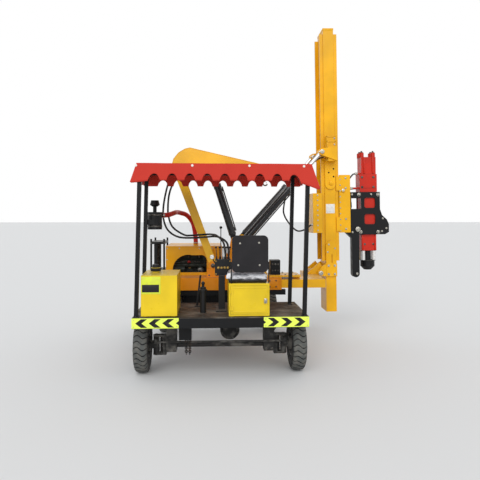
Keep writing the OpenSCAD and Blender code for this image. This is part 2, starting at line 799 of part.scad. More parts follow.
// A hose's ends are one running gap short of its sockets, and straight there
INTAKE = [
    [-685.1, 922.1, 1752], [-625, 962, 1757], [-566, 1120, 1782], [-550, 1320, 1792], [-505, 1415, 1785], [-423, 1500, 1752],
    [-350, 1572, 1650], [-320, 1600, 1507], [intake_at[0], intake_at[1], 1400]
];
intake_d = 60;
module intake_hose() {
    from = intake_out + [0.25, 0.17, 0];
    to = [intake_at[0], intake_at[1], sleeve_top + cover_h + 24 + gap];
    color(red) hose(concat([from], smooth(INTAKE, 3), [to]), intake_d, [1, -0.6, 0.1]);
}

// Two strands of round links under their bracket
module earth_chain() {
    link_r = 14;
    wire = 9;
    pitch = 2 * link_r - wire - gap;
    color(steel)
        for (x = [-376, -338])
            for (i = [0 : 7])
                translate([x, chain_y, chain_top - gap - link_r - wire / 2 - i * pitch]) rotate([90, 0, i % 2 * 90])
                    difference() {
                        cylinder(h = wire, r = link_r + wire / 2, $fn = 8, center = true);
                        cylinder(h = wire + 2, r = link_r - wire / 2, $fn = 8, center = true);
                    }
}

module valve_stand() {
    bank_x = [-61, 124];
    bank_y = [seat_y1 + 12, seat_y1 + 160];
    bank_z = [1062, 1240];
    stand_x = [-49, 72];
    lever_at = [8, seat_y1 + 60];
    gauge = [-94, 1267];
    color(black) union() {
        slab(stand_x, [320, 640], [deck_top, deck_top + 12]);
        slab([stand_x[0] + 30, stand_x[1] - 20], [seat_y1 - 60, seat_y1 + 90], [deck_top, bank_z[0] + 1]);
        slab(bank_x, bank_y, bank_z);
        for (i = [0 : 4]) bar_z(bank_x[0] + 20 + i * 36, bank_y[0] + 30, 16, bank_z[1] - 1, bank_z[1] + 34);
        // Unions that the hoses to the jib leave from
        for (p = [[96, 590], [60, 600]])
            bar_z(p[0], p[1], 32, bank_z[1] - 1, bank_z[1] + 26);
        bar_z(lever_at[0], lever_at[1], 10, bank_z[1] - 1, 1600);
        translate([lever_at[0], lever_at[1], 1608]) sphere(d = 34);
        bar([bank_x[0] + 10, bank_y[0] + 70, bank_z[0] + 120], [gauge[0], bank_y[0] + 70, gauge[1] - 8], 12);
        bar_y(gauge[0], gauge[1], 48, bank_y[0] + 60, bank_y[0] + 84);
    }
}

module pedestal() {
    at = [-193, 300];
    color(black) union() {
        bar_z(at[0], at[1], 64, deck_top, 960);
        bar_z(at[0], at[1], 92, 915, 933);
        bar_z(at[0], at[1], 30, 959, 990);
        translate([at[0], at[1], 1000]) sphere(d = 42);
        slab([at[0] - 105, at[0] - 40], [660, 720], [deck_top, deck_top + 10]);
        bar([at[0] - 78, 690, deck_top + 5], [at[0] - 36, 690, 1045], 22);
    }
}

// Steering column, leaning back towards the seat
column_foot = [345, 900, deck_top];
column_lean = 14;
column_l = 560;
shaft_d = 20;
module on_column() {
    translate(column_foot) rotate([column_lean, 0, 0]) children();
}

module steering_column() {
    color(black) union() {
        slab([column_foot[0] - 60, column_foot[0] + 60], [column_foot[1] - 55, column_foot[1] + 45], [deck_top, deck_top + 12]);
        on_column() {
            translate([0, 0, 14]) cylinder(h = column_l - 14, d = 56);
            translate([0, 0, column_l - 1]) cylinder(h = 70, d = shaft_d);
        }
    }
}

module steering_wheel() {
    ring_r = 160;
    color(black) on_column() translate([0, 0, column_l + gap]) difference() {
        union() {
            cylinder(h = 50, d = 60);
            translate([0, 0, 40]) rotate_extrude() translate([ring_r, 0]) circle(d = 26, $fn = 24);
            for (a = [90, 210, 330])
                rotate([0, 0, a]) translate([0, 0, 38]) rotate([0, 90, 0]) cylinder(h = ring_r, d = 16);
        }
        translate([0, 0, -1]) cylinder(h = 60, d = shaft_d + 2 * fit);
    }
}

module slide_sleeve() {
    slot_x0 = neck_x[0] - slide_in - slot_gap;
    jib_ears = [jib_y - jib_t / 2 - side_gap - ear_t, jib_y + jib_t / 2 + side_gap];
    cyl_ears = [jib_y - eye_room - ear_t, jib_y + eye_room];
    stand_x = [70, saddle_x[0] - slide_in - 20];
    color(orange) union() {
        difference() {
            slab([sleeve_x0, sleeve_x1], [sleeve_y0, sleeve_y1], [slide_z, sleeve_top]);
            slab([inner_x0 - slide_in - 20, sleeve_x1 + 1], [sleeve_y0 + sleeve_t, sleeve_y1 - sleeve_t],
                 [slide_z + sleeve_t, sleeve_top - sleeve_t]);
            slab([slot_x0, sleeve_x1 + 1], [neck_y[0] - slot_gap, neck_y[1] + slot_gap],
                 [sleeve_top - sleeve_t - 1, sleeve_top + 1]);
        }
        bar_y(-655, slide_z + 74, 60, sleeve_y0 - 16, sleeve_y0 + 1);
        // Ears and pin of the jib's foot
        for (y = jib_ears)
            plate_xz(y, y + ear_t) {
                translate(jib_foot) circle(r = 58);
                translate([jib_foot[0] - 80, sleeve_top - 1]) square([160, 100]);
                translate([jib_foot[0] - 58, sleeve_top - 1]) square([116, jib_foot[1] - sleeve_top]);
            }
        bar_y(jib_foot[0], jib_foot[1], jib_pin_d, jib_ears[0] - 12, jib_ears[1] + ear_t + 12);
        // Stand and pin of the jib cylinder's foot
        for (y = cyl_ears)
            plate_xz(y, y + ear_t) {
                translate(jib_cyl_foot) circle(r = 44);
                polygon([
                    [stand_x[0], sleeve_top - 1], [stand_x[1], sleeve_top - 1],
                    [jib_cyl_foot[0] + 44, jib_cyl_foot[1]], [jib_cyl_foot[0] - 44, jib_cyl_foot[1]]
                ]);
            }
        slab([stand_x[0] + 20, stand_x[1] - 20], [cyl_ears[0] + ear_t - 1, cyl_ears[1] + 1],
             [sleeve_top - 1, sleeve_top + 300]);
        bar_y(jib_cyl_foot[0], jib_cyl_foot[1], jib_pin_d, cyl_ears[0] - 10, cyl_ears[1] + ear_t + 10);
    }
}

// Rear faces of the mast's two pivot plates on the slide beam
pivot_plates = [mast_y0 + wrap_t - 5, mast_y1 - wrap_t - pivot_ear_t + 5];

module slide_beam() {
    beam_top = saddle_top + foot_h_beam;
    arm_y1 = tie_y[1];
    color(yellow) union() {
        difference() {
            slab([inner_x0, inner_x1], [inner_y0, inner_y1], [inner_z0, inner_z1]);
            slab([inner_x0 + inner_t, arm_x0], [inner_y0 + inner_t, inner_y1 - inner_t],
                 [inner_z0 + inner_t, inner_z1 - inner_t]);
        }
        slab(neck_x, neck_y, [inner_z1 - 1, saddle_z0 + 1]);
        slab([riser_x0, saddle_x[1]], neck_y, [inner_z1 - 1, saddle_z0 + 1]);
        slab(saddle_x, [saddle_y0, saddle_y1], [saddle_z0, saddle_top]);
        // Arm forward beside the mast, and the tie beam back to the pedestal beam
        slab([arm_x0, inner_x1], [inner_y1 - 1, arm_y1], [inner_z0, inner_z1]);
        slab([foot_x[0], inner_x1], tie_y, tie_z);
        slab([arm_x0, inner_x1], tie_y, [tie_z[1] - 1, inner_z0 + 1]);
        slab(foot_x, tie_y, [tie_z[1] - 1, saddle_top + 1]);
        slab(foot_x, [saddle_y0, tie_y[1]], [saddle_top - 1, beam_top]);
        // Pivot plates with the raised box between them
        for (y = pivot_plates)
            plate_xz(y, y + pivot_ear_t) {
                translate(pivot) circle(r = 46);
                polygon([
                    [arm_x0, inner_z1 - 1], [inner_x1, inner_z0], [pivot[0] + 20, pivot[1] - 41],
                    [pivot[0] + 44, pivot[1] + 12], [pivot[0] + 20, pivot[1] + 116], [pivot[0] - 2, pivot[1] + 143],
                    [arm_x0 + 50, pivot[1] + 28]
                ]);
            }
        bar_y(pivot[0], pivot[1], pivot_d, mast_y0 - wrap_t - ear_t - 14, mast_y1 + wrap_t + ear_t + 14);
        slab([arm_x0 + 60, inner_x1 - 10], [pivot_plates[0] + 1, pivot_plates[1] + 1], [inner_z1 - 1, pivot[1] + 40]);
        // Ears and pins of the tilt cylinders' feet
        for (c = TILT) {
            for (y = [c[0] - eye_room - ear_t, c[0] + eye_room])
                plate_xz(y, y + ear_t) {
                    translate([c[1], c[2]]) circle(r = 44);
                    polygon([
                        [c[1] - 44, c[2]], [c[1] + 31, c[2] + 31], [foot_x[1], beam_top - 1],
                        [foot_x[0], beam_top - 1]
                    ]);
                }
            bar_y(c[1], c[2], tilt_pin_d, c[0] - eye_room - ear_t - 10, c[0] + eye_room + ear_t + 10);
        }
    }
}

module slide_valve_box() {
    color(black) slab([661, 789], [saddle_y0 + 60, saddle_y0 + 220], [saddle_top, saddle_top + 188]);
}

module mast() {
    rail_y = [mast_y0 + rail_back, mast_y1 - rail_back - rail_t];
    guard_x = [mast_x0 - 180, mast_x0 - 160];
    guard_z = [carriage_z[0], 2064];
    color(yellow) union() {
        difference() {
            slab([mast_x0, mast_x1], [mast_y0, mast_y1], [mast_foot, mast_top]);
            slab([mast_x0 + mast_t, mast_x1 - mast_t], [mast_y0 + mast_t, mast_y1 - mast_t],
                 [mast_foot - 1, mast_top + 1]);
        }
        for (y = rail_y) {
            slab([mast_x0 - rail_out, mast_x0 + 1], [y, y + rail_t], mast_rail_z);
            slab([mast_x1 - 1, mast_x1 + rail_out], [y, y + rail_t], mast_rail_z);
        }
        // Hose guard on the left side
        slab(guard_x, [mast_y0 - 40, mast_y1], guard_z);
        slab([guard_x[0], mast_x0 - rail_out], [mast_y0 - 40, mast_y0 - 20], guard_z);
        for (z = [guard_z[0], guard_z[1] - 20])
            slab([guard_x[0], mast_x0 + 1], [mast_y0 + 20, mast_y1 - 30], [z, z + 20]);
    }
}

module mast_brackets() {
    plate_top = 1400;
    pivot_ears = [mast_y0 - wrap_t, mast_y1 + wrap_t - ear_t];
    pad_z = [2119, head_z[0]];
    color(yellow) union() {
        // Foot bracket around the column
        difference() {
            slab([mast_x0, mast_x1 + 6], [mast_y0 - wrap_t, mast_y1 + wrap_t], foot_z);
            slab([mast_x0 - 1, mast_x1], [mast_y0, mast_y1], [foot_z[0] - 1, foot_z[1] + 1]);
        }
        // Slotted rear plate with a rounded top
        plate_xz(mast_y0 - wrap_t, mast_y0) difference() {
            union() {
                translate([mast_x, plate_top - mast_w / 2]) circle(d = mast_w);
                translate([mast_x0, foot_z[1] - 1]) square([mast_w, plate_top - mast_w / 2 - foot_z[1]]);
            }
            translate([mast_x + 2, 1088]) square([12, 118]);
        }
        // Ears on the lower pivot
        for (y = pivot_ears)
            plate_xz(y, y + ear_t) difference() {
                union() {
                    translate(pivot) circle(r = 44);
                    polygon([
                        [pivot[0], pivot[1] - 44], [mast_x0 + 1, foot_z[0]], [mast_x0 + 1, foot_z[1]],
                        [pivot[0] + 20, foot_z[1] - 40], [pivot[0] - 10, pivot[1] + 43]
                    ]);
                }
                translate(pivot) circle(r = pivot_d / 2 + fit);
            }
        // Head boxes behind and in front of the column, with ears for the rod eyes
        for (c = TILT) {
            behind = c[0] < mast_y0;
            box_y = behind ? [c[0] + eye_room + 1, mast_y0] : [mast_y1, c[0] - eye_room - 1];
            slab([mast_x0 + 10, mast_x1 - 10], box_y, head_z);
            slab([head_at[0] + 90, mast_x1 - 10], [c[0] - eye_room - 1, c[0] + eye_room + 1], [head_z[0], head_z[0] + 200]);
            for (y = [c[0] - eye_room - ear_t, c[0] + eye_room])
                plate_xz(y, y + ear_t) {
                    translate(head_at) circle(r = 46);
                    polygon([
                        [head_at[0], head_at[1] - 46], [mast_x1 - 10, head_z[0]], [mast_x1 - 10, head_z[0] + 200],
                        [head_at[0], head_at[1] + 46]
                    ]);
                }
            bar_y(head_at[0], head_at[1], tilt_pin_d, c[0] - eye_room - ear_t - 14, c[0] - eye_room - ear_t + 1);
            bar_y(head_at[0], head_at[1], tilt_pin_d, c[0] + eye_room + ear_t - 1, c[0] + eye_room + ear_t + 14);
        }
        // Pad with three holes below the rear head box
        plate_xz(mast_y0 - 20, mast_y0) difference() {
            union() {
                translate([mast_x, pad_z[0] + mast_w / 2]) circle(d = mast_w);
                translate([mast_x0, pad_z[0] + mast_w / 2]) square([mast_w, pad_z[1] - pad_z[0] - mast_w / 2]);
            }
            for (p = [[-20, 233], [48, 285], [48, 177]])
                translate([mast_x + p[0], pad_z[0] + p[1]]) circle(d = 24);
        }
        bar_y(mast_x + 10, pad_z[0] + 87, 60, mast_y0 - 34, mast_y0 - 19);
    }
}

// Hose that hangs in a loop from the guard and runs up beside the tilt cylinder to the head box
MAST_HOSE = [
    [1308, 1730, 1625], [1270, 1729, 1604], [1200, 1725, 1556], [1102, 1722, 1544], [1005, 1720, 1630], [925, 1716, 1760],
    [917, 1714, 1880], [984, 1710, 2125], [1170, 1706, 2345], [1340, 1703, 2495], [1430, 1702, 2550], [1494, 1702, 2566]
];
module mast_hose() {
    from = [mast_x0 - 180 - gap, 1730, 1625];
    to = [mast_x0 + 10 - gap, 1702, 2566];
    color(black) hose(concat([from], smooth(MAST_HOSE, 3), [to]), 22, [0, 1, 0.2], 8);
}

// A hydraulic barrel from its foot pin towards its rod's eye, with a pipe on its right side
module barrel(y, from, to, length, d, rod_d, pin_d) {
    start = 70;
    pipe_x = d / 2 + 12;
    along_xz(y, from, to) difference() {
        union() {
            rotate([90, 0, 0]) cylinder(h = eye_w, d = pin_d + 50, center = true);
            translate([-d / 2 + 8, -eye_w / 2, 0]) cube([d - 16, eye_w, start + 1]);
            translate([0, 0, start]) cylinder(h = length - start, d = d);
            translate([0, 0, length - 60]) cylinder(h = 60, d = d + 12);
            translate([pipe_x, 0, start + 40]) cylinder(h = length - start - 90, d = 16);
            for (h = [start + 50, length - 110])
                translate([0, -14, h]) cube([pipe_x, 28, 40]);
        }
        rotate([90, 0, 0]) cylinder(h = eye_w + 2, r = pin_d / 2 + fit, center = true);
        translate([0, 0, start + 50]) cylinder(h = length, r = rod_d / 2 + gap);
    }
}

// A rod that runs in its barrel and ends in a solid eye between the ears
module rod(y, from, to, start, rod_d) {
    total = norm(to - from);
    along_xz(y, from, to) {
        translate([0, 0, start]) cylinder(h = total - start, d = rod_d);
        translate([0, 0, total]) rotate([90, 0, 0]) cylinder(h = eye_w, d = rod_d + 30, center = true);
    }
}

module tilt_barrel(c) {
    color(black) barrel(c[0], [c[1], c[2]], head, c[3], tilt_d, tilt_rod_d, tilt_pin_d);
}
module tilt_rod(c) {
    color(steel) rod(c[0], [c[1], c[2]], head, rod_start, tilt_rod_d);
}

module carriage() {
    rail_x1 = mast_x1 + rail_out;
    rear = mast_y0 + rail_back;
    front = mast_y1 - rail_back;
    finger_x0 = mast_x1 + 12;
    wall_x = [carriage_x1 - carriage_t, carriage_x1];
    // Fingers on both sides of each guide rail: rear faces
    finger_y = [
        rear - slide_gap - carriage_t, rear + rail_t + slide_gap,
        front - rail_t - slide_gap - carriage_t, front + slide_gap
    ];
    color(yellow) union() {
        slab(wall_x, [finger_y[0], finger_y[3] + carriage_t], carriage_z);
        for (y = [finger_y[0], finger_y[3]])
            slab([rail_x1 + wall_gap, wall_x[0] + 1], [y, y + carriage_t], carriage_z);
        for (y = finger_y)
            for (z = [carriage_z[0] + 20, carriage_z[1] - 220])
                slab([finger_x0, wall_x[0] + 1], [y, y + carriage_t], [z, z + 200]);
        slab([rail_x1 + wall_gap, wall_x[0] + 1], [finger_y[0] + 1, finger_y[3] + 1],
             [carriage_z[0] + 300, carriage_z[0] + 320]);
        bar_y(carriage_x1 - 103, carriage_z[1] - 215, 60, finger_y[0] - 14, finger_y[0] + 1);
        // Block that carries the hammer's housing
        slab([carriage_x1 - 1, housing_x[0]], [hammer_y - 100, hammer_y + 100], [housing_z[0] + 100, housing_z[1] - 260]);
    }
}

// Rear faces of the housing's two side plates, which clamp the hammer body
plate_y = [hammer_y - hammer_d / 2 - side_t, hammer_y + hammer_d / 2];

module hammer_housing() {
    leg_x = [housing_x[0] + 16, housing_x[0] + 16 + leg_w];
    window_x = housing_x[0] + 201;
    shelf_z = housing_z[0] + 362;
    // Pins through both plates: [x, z]
    pins = [
        [housing_x[0] + 125, housing_z[1] - 35], [housing_x[1] - 26, housing_z[1] - 39],
        [housing_x[0] + 144, housing_z[0] + 38], [housing_x[1] - 30, housing_z[0] + 34]
    ];
    color(black) union() {
        for (y = plate_y)
            plate_xz(y, y + side_t) difference() {
                union() {
                    translate([housing_x[0], housing_z[0]])
                        square([housing_x[1] - housing_x[0], housing_z[1] - housing_z[0]]);
                    polygon([
                        [housing_x[1] - 1, shelf_z], [bump_x - 96, bump_z[1] + 128], [bump_x - 28, bump_z[1] + 65],
                        [bump_x, bump_z[1]], [bump_x, bump_z[0]], [bump_x - 56, housing_z[0]],
                        [housing_x[1] - 1, housing_z[0]]
                    ]);
                }
                for (z = [housing_z[0] + 147, housing_z[0] + 378])
                    translate([window_x, z]) rounded(158, 144, 30);
                translate([housing_x[0] + 14, shelf_z + 4]) square([142, 158]);
            }
        // Leg with a round foot, and the corner plate beside its top
        plate_xz(plate_y[0], plate_y[0] + leg_d) {
            translate([leg_x[0], leg_z]) square([leg_w, housing_z[0] - leg_z + 60]);
            translate([leg_x[0] + leg_w / 2, leg_z]) circle(d = leg_w);
            polygon([[leg_x[0] - 80, housing_z[0] + 30], [leg_x[0] + 1, housing_z[0] + 30], [leg_x[0] + 1, housing_z[0] - 50]]);
        }
        // Back wall towards the carriage
        slab([housing_x[0], housing_x[0] + 25], [plate_y[0] + 1, plate_y[1] + side_t - 1], [housing_z[0], shelf_z]);
        for (p = pins)
            bar_y(p[0], p[1], 36, plate_y[0] - 10, plate_y[1] + side_t + 10);
        bar_y(leg_x[0] + 66, leg_z, 56, plate_y[0] - 10, plate_y[0] + leg_d + 10);
        bar_y(housing_x[0] + 101, housing_z[0] + 77, 85, plate_y[0] - 14, plate_y[0] + 1);
    }
}

module hammer_body() {
    half = hammer_w / 2;
    y = [hammer_y - hammer_d / 2, hammer_y + hammer_d / 2];
    // Pipe unions on the left: [z, distance of the outer end from the body's middle]
    unions = [[body_z[1] + 8, 185], [body_z[1] - 200, 262]];
    color(red) union() {
        slab([hammer_x - half, hammer_x + half], [y[0] + 10, y[1] - 10], [body_z[0], housing_z[0] + 1]);
        slab([hammer_x - half, hammer_x + half], y, [housing_z[0], body_z[1] - 200]);
        slab([hammer_x - half - 21, hammer_x + half + 16], y, [housing_z[1] + 4, body_z[1]]);
        slab([hammer_x - half + 6, hammer_x + half + 4], [y[0] + 5, y[1] - 5], [body_z[1] - 1, body_z[2]]);
        for (x = [-80, 83])
            for (side = [-1, 1])
                bar_z(hammer_x + x - 3, hammer_y + side * 55, 66, body_z[2] - 1, body_z[2] + 64);
        for (u = unions)
            bar_x(hammer_y - 60, u[0], 30, hammer_x - u[1], hammer_x - half + 10);
    }
}

module drive_cap() {
    rod_z = [1102, body_z[0]];
    cone_h = 51;
    cap_h = 84;
    color(black) union() {
        for (x = [-77, 77])
            for (side = [-1, 1])
                bar_z(hammer_x + x, hammer_y + side * 58, 52, rod_z[0] - 1, rod_z[1]);
        bar_z(hammer_x, hammer_y, 90, rod_z[0] - 1, rod_z[1]);
        bar_z(hammer_x, hammer_y, cap_d, rod_z[0] - cap_h, rod_z[0]);
        translate([hammer_x, hammer_y, cap_z]) cylinder(h = cone_h, d1 = 106, d2 = cap_d);
    }
}

module jib() {
    half_foot = 50;
    half_knee = 56;
    slot_r = 74;
    cheek_r = 50;
    hook_ear = 22;
    hook_gap = 12;
    color(yellow) union() {
        difference() {
            plate_xz(jib_y - jib_t / 2, jib_y + jib_t / 2) {
                difference() {
                    union() {
                        translate(jib_foot) circle(r = 60);
                        polygon([
                            [jib_foot[0] - half_foot, jib_foot[1] + 24], [-480 - half_knee, 2190], [-600, 2420],
                            [-585, 2480], [-520, 2560], [-440, 2608], [-377, 2623], [478, 2430], [628, 2392],
                            [628, 2310], [478, 2318], [-60, 2410], [-300, 2410], [-380, 2380], [-420, 2310],
                            [-480 + half_knee, 2210], [jib_foot[0] + half_foot, jib_foot[1] + 24]
                        ]);
                        translate(jib_eye) circle(r = cheek_r);
                        translate([jib_eye[0] - cheek_r, jib_eye[1]]) square([2 * cheek_r, 80]);
                    }
                    translate(jib_foot) circle(r = jib_pin_d / 2 + fit);
                }
            }
            // Room for the cylinder's rod eye
            bar_y(jib_eye[0], jib_eye[1], 2 * slot_r, jib_y - eye_room, jib_y + eye_room);
        }
        for (side = [-1, 1])
            bar_y(jib_eye[0], jib_eye[1], jib_pin_d, jib_y + side * (jib_t / 2 + 5) - 6, jib_y + side * (jib_t / 2 + 5) + 6);
        // Two ears and the pin that carry the hook
        for (y = [jib_y - hook_gap - 10, jib_y + hook_gap])
            plate_xz(y, y + 10) {
                translate(hook_pin) circle(r = hook_ear);
                translate([hook_pin[0] - hook_ear, hook_pin[1]]) square([2 * hook_ear, 56]);
            }
        bar_y(hook_pin[0], hook_pin[1], hook_pin_d, jib_y - hook_gap - 14, jib_y + hook_gap + 14);
    }
}

module jib_barrel() {
    color(black) barrel(jib_y, jib_cyl_foot, jib_eye, jib_barrel_l, jib_cyl_d, jib_rod_d, jib_pin_d);
}
module jib_rod() {
    color(steel) rod(jib_y, jib_cyl_foot, jib_eye, jib_rod_start, jib_rod_d);
}

module hook() {
    wire_d = 18;
    bow_z = hook_pin[1] - 92;
    color(steel) union() {
        difference() {
            union() {
                bar_y(hook_pin[0], hook_pin[1], 36, jib_y - 11, jib_y + 11);
                bar_z(hook_pin[0], jib_y, 16, bow_z + hook_r - 2, hook_pin[1] - 10);
            }
            bar_y(hook_pin[0], hook_pin[1], hook_pin_d + 2 * fit, jib_y - 12, jib_y + 12);
        }
        translate([hook_pin[0], jib_y, bow_z]) rotate([90, 0, 0]) rotate([0, 0, 90])
            rotate_extrude(angle = 250) translate([hook_r, 0]) circle(d = wire_d, $fn = 24);
    }
}

place() frame();
place() deck();
place() chevrons();
place() rear_axle();
place() front_axle();
place() transfer_case();
place() mirror([1, 0, 0]) knuckle();  // knuckle_left
place() knuckle();  // knuckle_right
place() tie_rod();
place() wheel_at(-1, rear_x, rear_y) tyre();  // tyre_rear_left
place() wheel_at(-1, rear_x, rear_y) rim();  // rim_rear_left
place() wheel_at(1, rear_x, rear_y) tyre();  // tyre_rear_right
place() wheel_at(1, rear_x, rear_y) rim();  // rim_rear_right
place() wheel_at(-1, front_x, front_y) tyre();  // tyre_front_left
place() wheel_at(-1, front_x, front_y) rim();  // rim_front_left
place() wheel_at(1, front_x, front_y) tyre();  // tyre_front_right
place() wheel_at(1, front_x, front_y) rim();  // rim_front_right
place() tank_box();
place() seat_box();
place() seat_box_door();
place() seat_cushion();
place() seat_back();
place() canopy_frame();
place() canopy();
place() engine_block();
place() engine_parts();
place() engine_cover();
place() radiator();
place() air_cleaner();
place() intake_hose();
place() earth_chain();
place() valve_stand();
place() pedestal();
place() steering_column();
place() steering_wheel();
place() slide_sleeve();
place() slide_beam();
place() slide_valve_box();
place() on_mast() mast();
place() on_mast() mast_brackets();
place() on_mast() mast_hose();
place() tilt_barrel(TILT[0]);  // tilt_barrel_rear
place() tilt_rod(TILT[0]);  // tilt_rod_rear
place() tilt_barrel(TILT[1]);  // tilt_barrel_front
place() tilt_rod(TILT[1]);  // tilt_rod_front
place() on_mast() carriage();
place() on_mast() hammer_housing();
place() on_mast() hammer_body();
place() on_mast() drive_cap();
place() jib();
place() jib_barrel();
place() jib_rod();
place() hook();
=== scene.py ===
"""Looks of a wheeled pile driver rig for road guardrail posts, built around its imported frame.

Sizes are in metres. Places are written from the middle of the deck's rear edge at ground level,
x to the machine's right, y forward and z up, and at() moves them into the frame's own axes.
"""
import math
from contextlib import contextmanager
from functools import partial
from itertools import product

import bmesh
import bpy
from mathutils import Matrix, Vector, noise

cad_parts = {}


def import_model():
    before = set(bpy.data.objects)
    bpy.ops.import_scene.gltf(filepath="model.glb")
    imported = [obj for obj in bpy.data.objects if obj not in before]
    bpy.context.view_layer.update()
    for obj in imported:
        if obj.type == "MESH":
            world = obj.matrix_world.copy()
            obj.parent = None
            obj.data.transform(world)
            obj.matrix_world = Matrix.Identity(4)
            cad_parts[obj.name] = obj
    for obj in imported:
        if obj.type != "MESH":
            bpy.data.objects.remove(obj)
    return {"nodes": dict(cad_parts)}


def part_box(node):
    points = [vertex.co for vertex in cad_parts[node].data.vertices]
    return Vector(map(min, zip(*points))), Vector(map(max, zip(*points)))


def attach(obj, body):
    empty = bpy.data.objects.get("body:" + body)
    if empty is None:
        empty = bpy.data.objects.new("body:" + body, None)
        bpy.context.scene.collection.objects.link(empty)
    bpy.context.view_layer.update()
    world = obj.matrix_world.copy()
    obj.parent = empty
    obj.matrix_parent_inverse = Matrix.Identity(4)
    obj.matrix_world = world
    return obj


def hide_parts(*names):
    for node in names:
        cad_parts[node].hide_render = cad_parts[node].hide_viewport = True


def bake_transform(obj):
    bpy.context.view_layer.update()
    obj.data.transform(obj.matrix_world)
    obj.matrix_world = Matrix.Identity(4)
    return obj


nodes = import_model()["nodes"]
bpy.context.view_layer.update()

deck_lo, deck_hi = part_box("deck")
MIDDLE_X = (deck_lo.x + deck_hi.x) / 2
REAR_Y = deck_lo.y
REARWARD, UPWARD, RIGHTWARD = (0, -1, 0), (0, 0, 1), (1, 0, 0)
EVEN = (1, 1, 1)


def at(x, y, z):
    """A place on the machine, as a point in the frame's axes."""
    return Vector((x + MIDDLE_X, y + REAR_Y, z))


def place(spot):
    """A tuple is a place on the machine, and a Vector is already in the frame's axes."""
    return spot if isinstance(spot, Vector) else at(*spot)


def new_object(name, data):
    made = bpy.data.objects.new(name, data)
    bpy.context.scene.collection.objects.link(made)
    return made


# Camera. The photograph was taken from behind, at standing height and a little to the left of the
# seat, with the camera level and turned slightly to the right.
EYE = (-0.106, -5.3, 1.718)
EYE_TURN = math.radians(3.27)
FOCAL_PX = 508
HORIZON_PX = 218
PHOTO_PX = 480
SENSOR = 36

camera = new_object("camera", bpy.data.cameras.new("camera"))
camera.data.sensor_width = SENSOR
camera.data.lens = FOCAL_PX / PHOTO_PX * SENSOR
camera.data.shift_y = (HORIZON_PX - PHOTO_PX / 2) / PHOTO_PX
camera.location = at(*EYE)
camera.rotation_euler = (math.radians(90), 0, -EYE_TURN)
bpy.context.scene.camera = camera
bpy.context.scene.view_settings.view_transform = "Standard"

# Studio: a pale floor, an even pale sky that gives the soft light of an overcast day and is plain
# white where it is seen, and one wide soft sun from behind the camera's left shoulder.
FLOOR_COLOUR = (219, 219, 218)
FLOOR_SIZE = 400
SKY_TINT = (0.95, 0.97, 1.0, 1.0)
SKY_LIGHT = 0.80
SUN_POWER = 1.50
SUN_WIDTH = math.radians(50)
SUN_TILT = (math.radians(56), math.radians(-14), 0)
SPECULAR = 0.22


def linear(r, g, b):
    """A colour as it looks on a screen, 0 to 255, in Blender's linear light."""
    parts = [c / 255 for c in (r, g, b)]
    return tuple(c / 12.92 if c <= 0.04 else ((c + 0.055) / 1.055) ** 2.4 for c in parts) + (1.0,)


def surface(name, colour, roughness=0.5, metallic=0.0, **sockets):
    """A material with one Principled shader. Sockets are its other inputs, spaces written as _."""
    made = bpy.data.materials.new(name)
    made.use_nodes = True
    given = {"Base Color": linear(*colour), "Roughness": roughness, "Metallic": metallic,
             "Specular IOR Level": SPECULAR}
    given.update({socket.replace("_", " "): value for socket, value in sockets.items()})
    for socket, value in given.items():
        shader_of(made).inputs[socket].default_value = value
    return made


def shader_of(mat):
    return mat.node_tree.nodes["Principled BSDF"]


world = bpy.data.worlds.new("sky")
world.use_nodes = True
bpy.context.scene.world = world
sky_nodes, sky_links = world.node_tree.nodes, world.node_tree.links
sky = sky_nodes["Background"]
backdrop = sky_nodes.new("ShaderNodeBackground")
for light, tint, strength in ((sky, SKY_TINT, SKY_LIGHT), (backdrop, (1.0, 1.0, 1.0, 1.0), 1.0)):
    light.inputs["Color"].default_value = tint
    light.inputs["Strength"].default_value = strength
rays = sky_nodes.new("ShaderNodeLightPath")
seen = rays.outputs["Is Camera Ray"]
for kind in ("Is Glossy Ray", "Is Transmission Ray"):
    either = sky_nodes.new("ShaderNodeMath")
    either.operation = "MAXIMUM"
    sky_links.new(seen, either.inputs[0])
    sky_links.new(rays.outputs[kind], either.inputs[1])
    seen = either.outputs[0]
sky_mix = sky_nodes.new("ShaderNodeMixShader")
for source, target in ((seen, sky_mix.inputs["Fac"]), (sky.outputs[0], sky_mix.inputs[1]),
                       (backdrop.outputs[0], sky_mix.inputs[2]),
                       (sky_mix.outputs[0], sky_nodes["World Output"].inputs["Surface"])):
    sky_links.new(source, target)

sun = new_object("sun", bpy.data.lights.new("sun", "SUN"))
sun.data.energy = SUN_POWER
sun.data.angle = SUN_WIDTH
sun.rotation_euler = SUN_TILT

floor_shape = bmesh.new()
bmesh.ops.create_grid(floor_shape, x_segments=1, y_segments=1, size=FLOOR_SIZE / 2)
floor_mesh = bpy.data.meshes.new("floor")
floor_shape.to_mesh(floor_mesh)
floor_shape.free()
floor = new_object("floor", floor_mesh)
floor.data.materials.append(surface("pale_floor", FLOOR_COLOUR, roughness=0.85))


# Materials. Each is built from clouds of noise on the object's own coordinates.
def add_node(mat, kind, **settings):
    """A new node of a material. Settings are its own values, such as operation="MULTIPLY"."""
    new = mat.node_tree.nodes.new("ShaderNode" + kind)
    for key, value in settings.items():
        setattr(new, key, value)
    return new


def link(mat, source, target):
    mat.node_tree.links.new(source, target)


def feed(mat, **sockets):
    """Links nodes' values to a material's shader. Sockets are its inputs, spaces written as _."""
    for socket, value in sockets.items():
        link(mat, value, shader_of(mat).inputs[socket.replace("_", " ")])


def object_place(mat):
    return add_node(mat, "TexCoord").outputs["Object"]


def object_axes(mat):
    """The object's own coordinates, as values X, Y and Z."""
    split = add_node(mat, "SeparateXYZ")
    link(mat, object_place(mat), split.inputs[0])
    return split.outputs


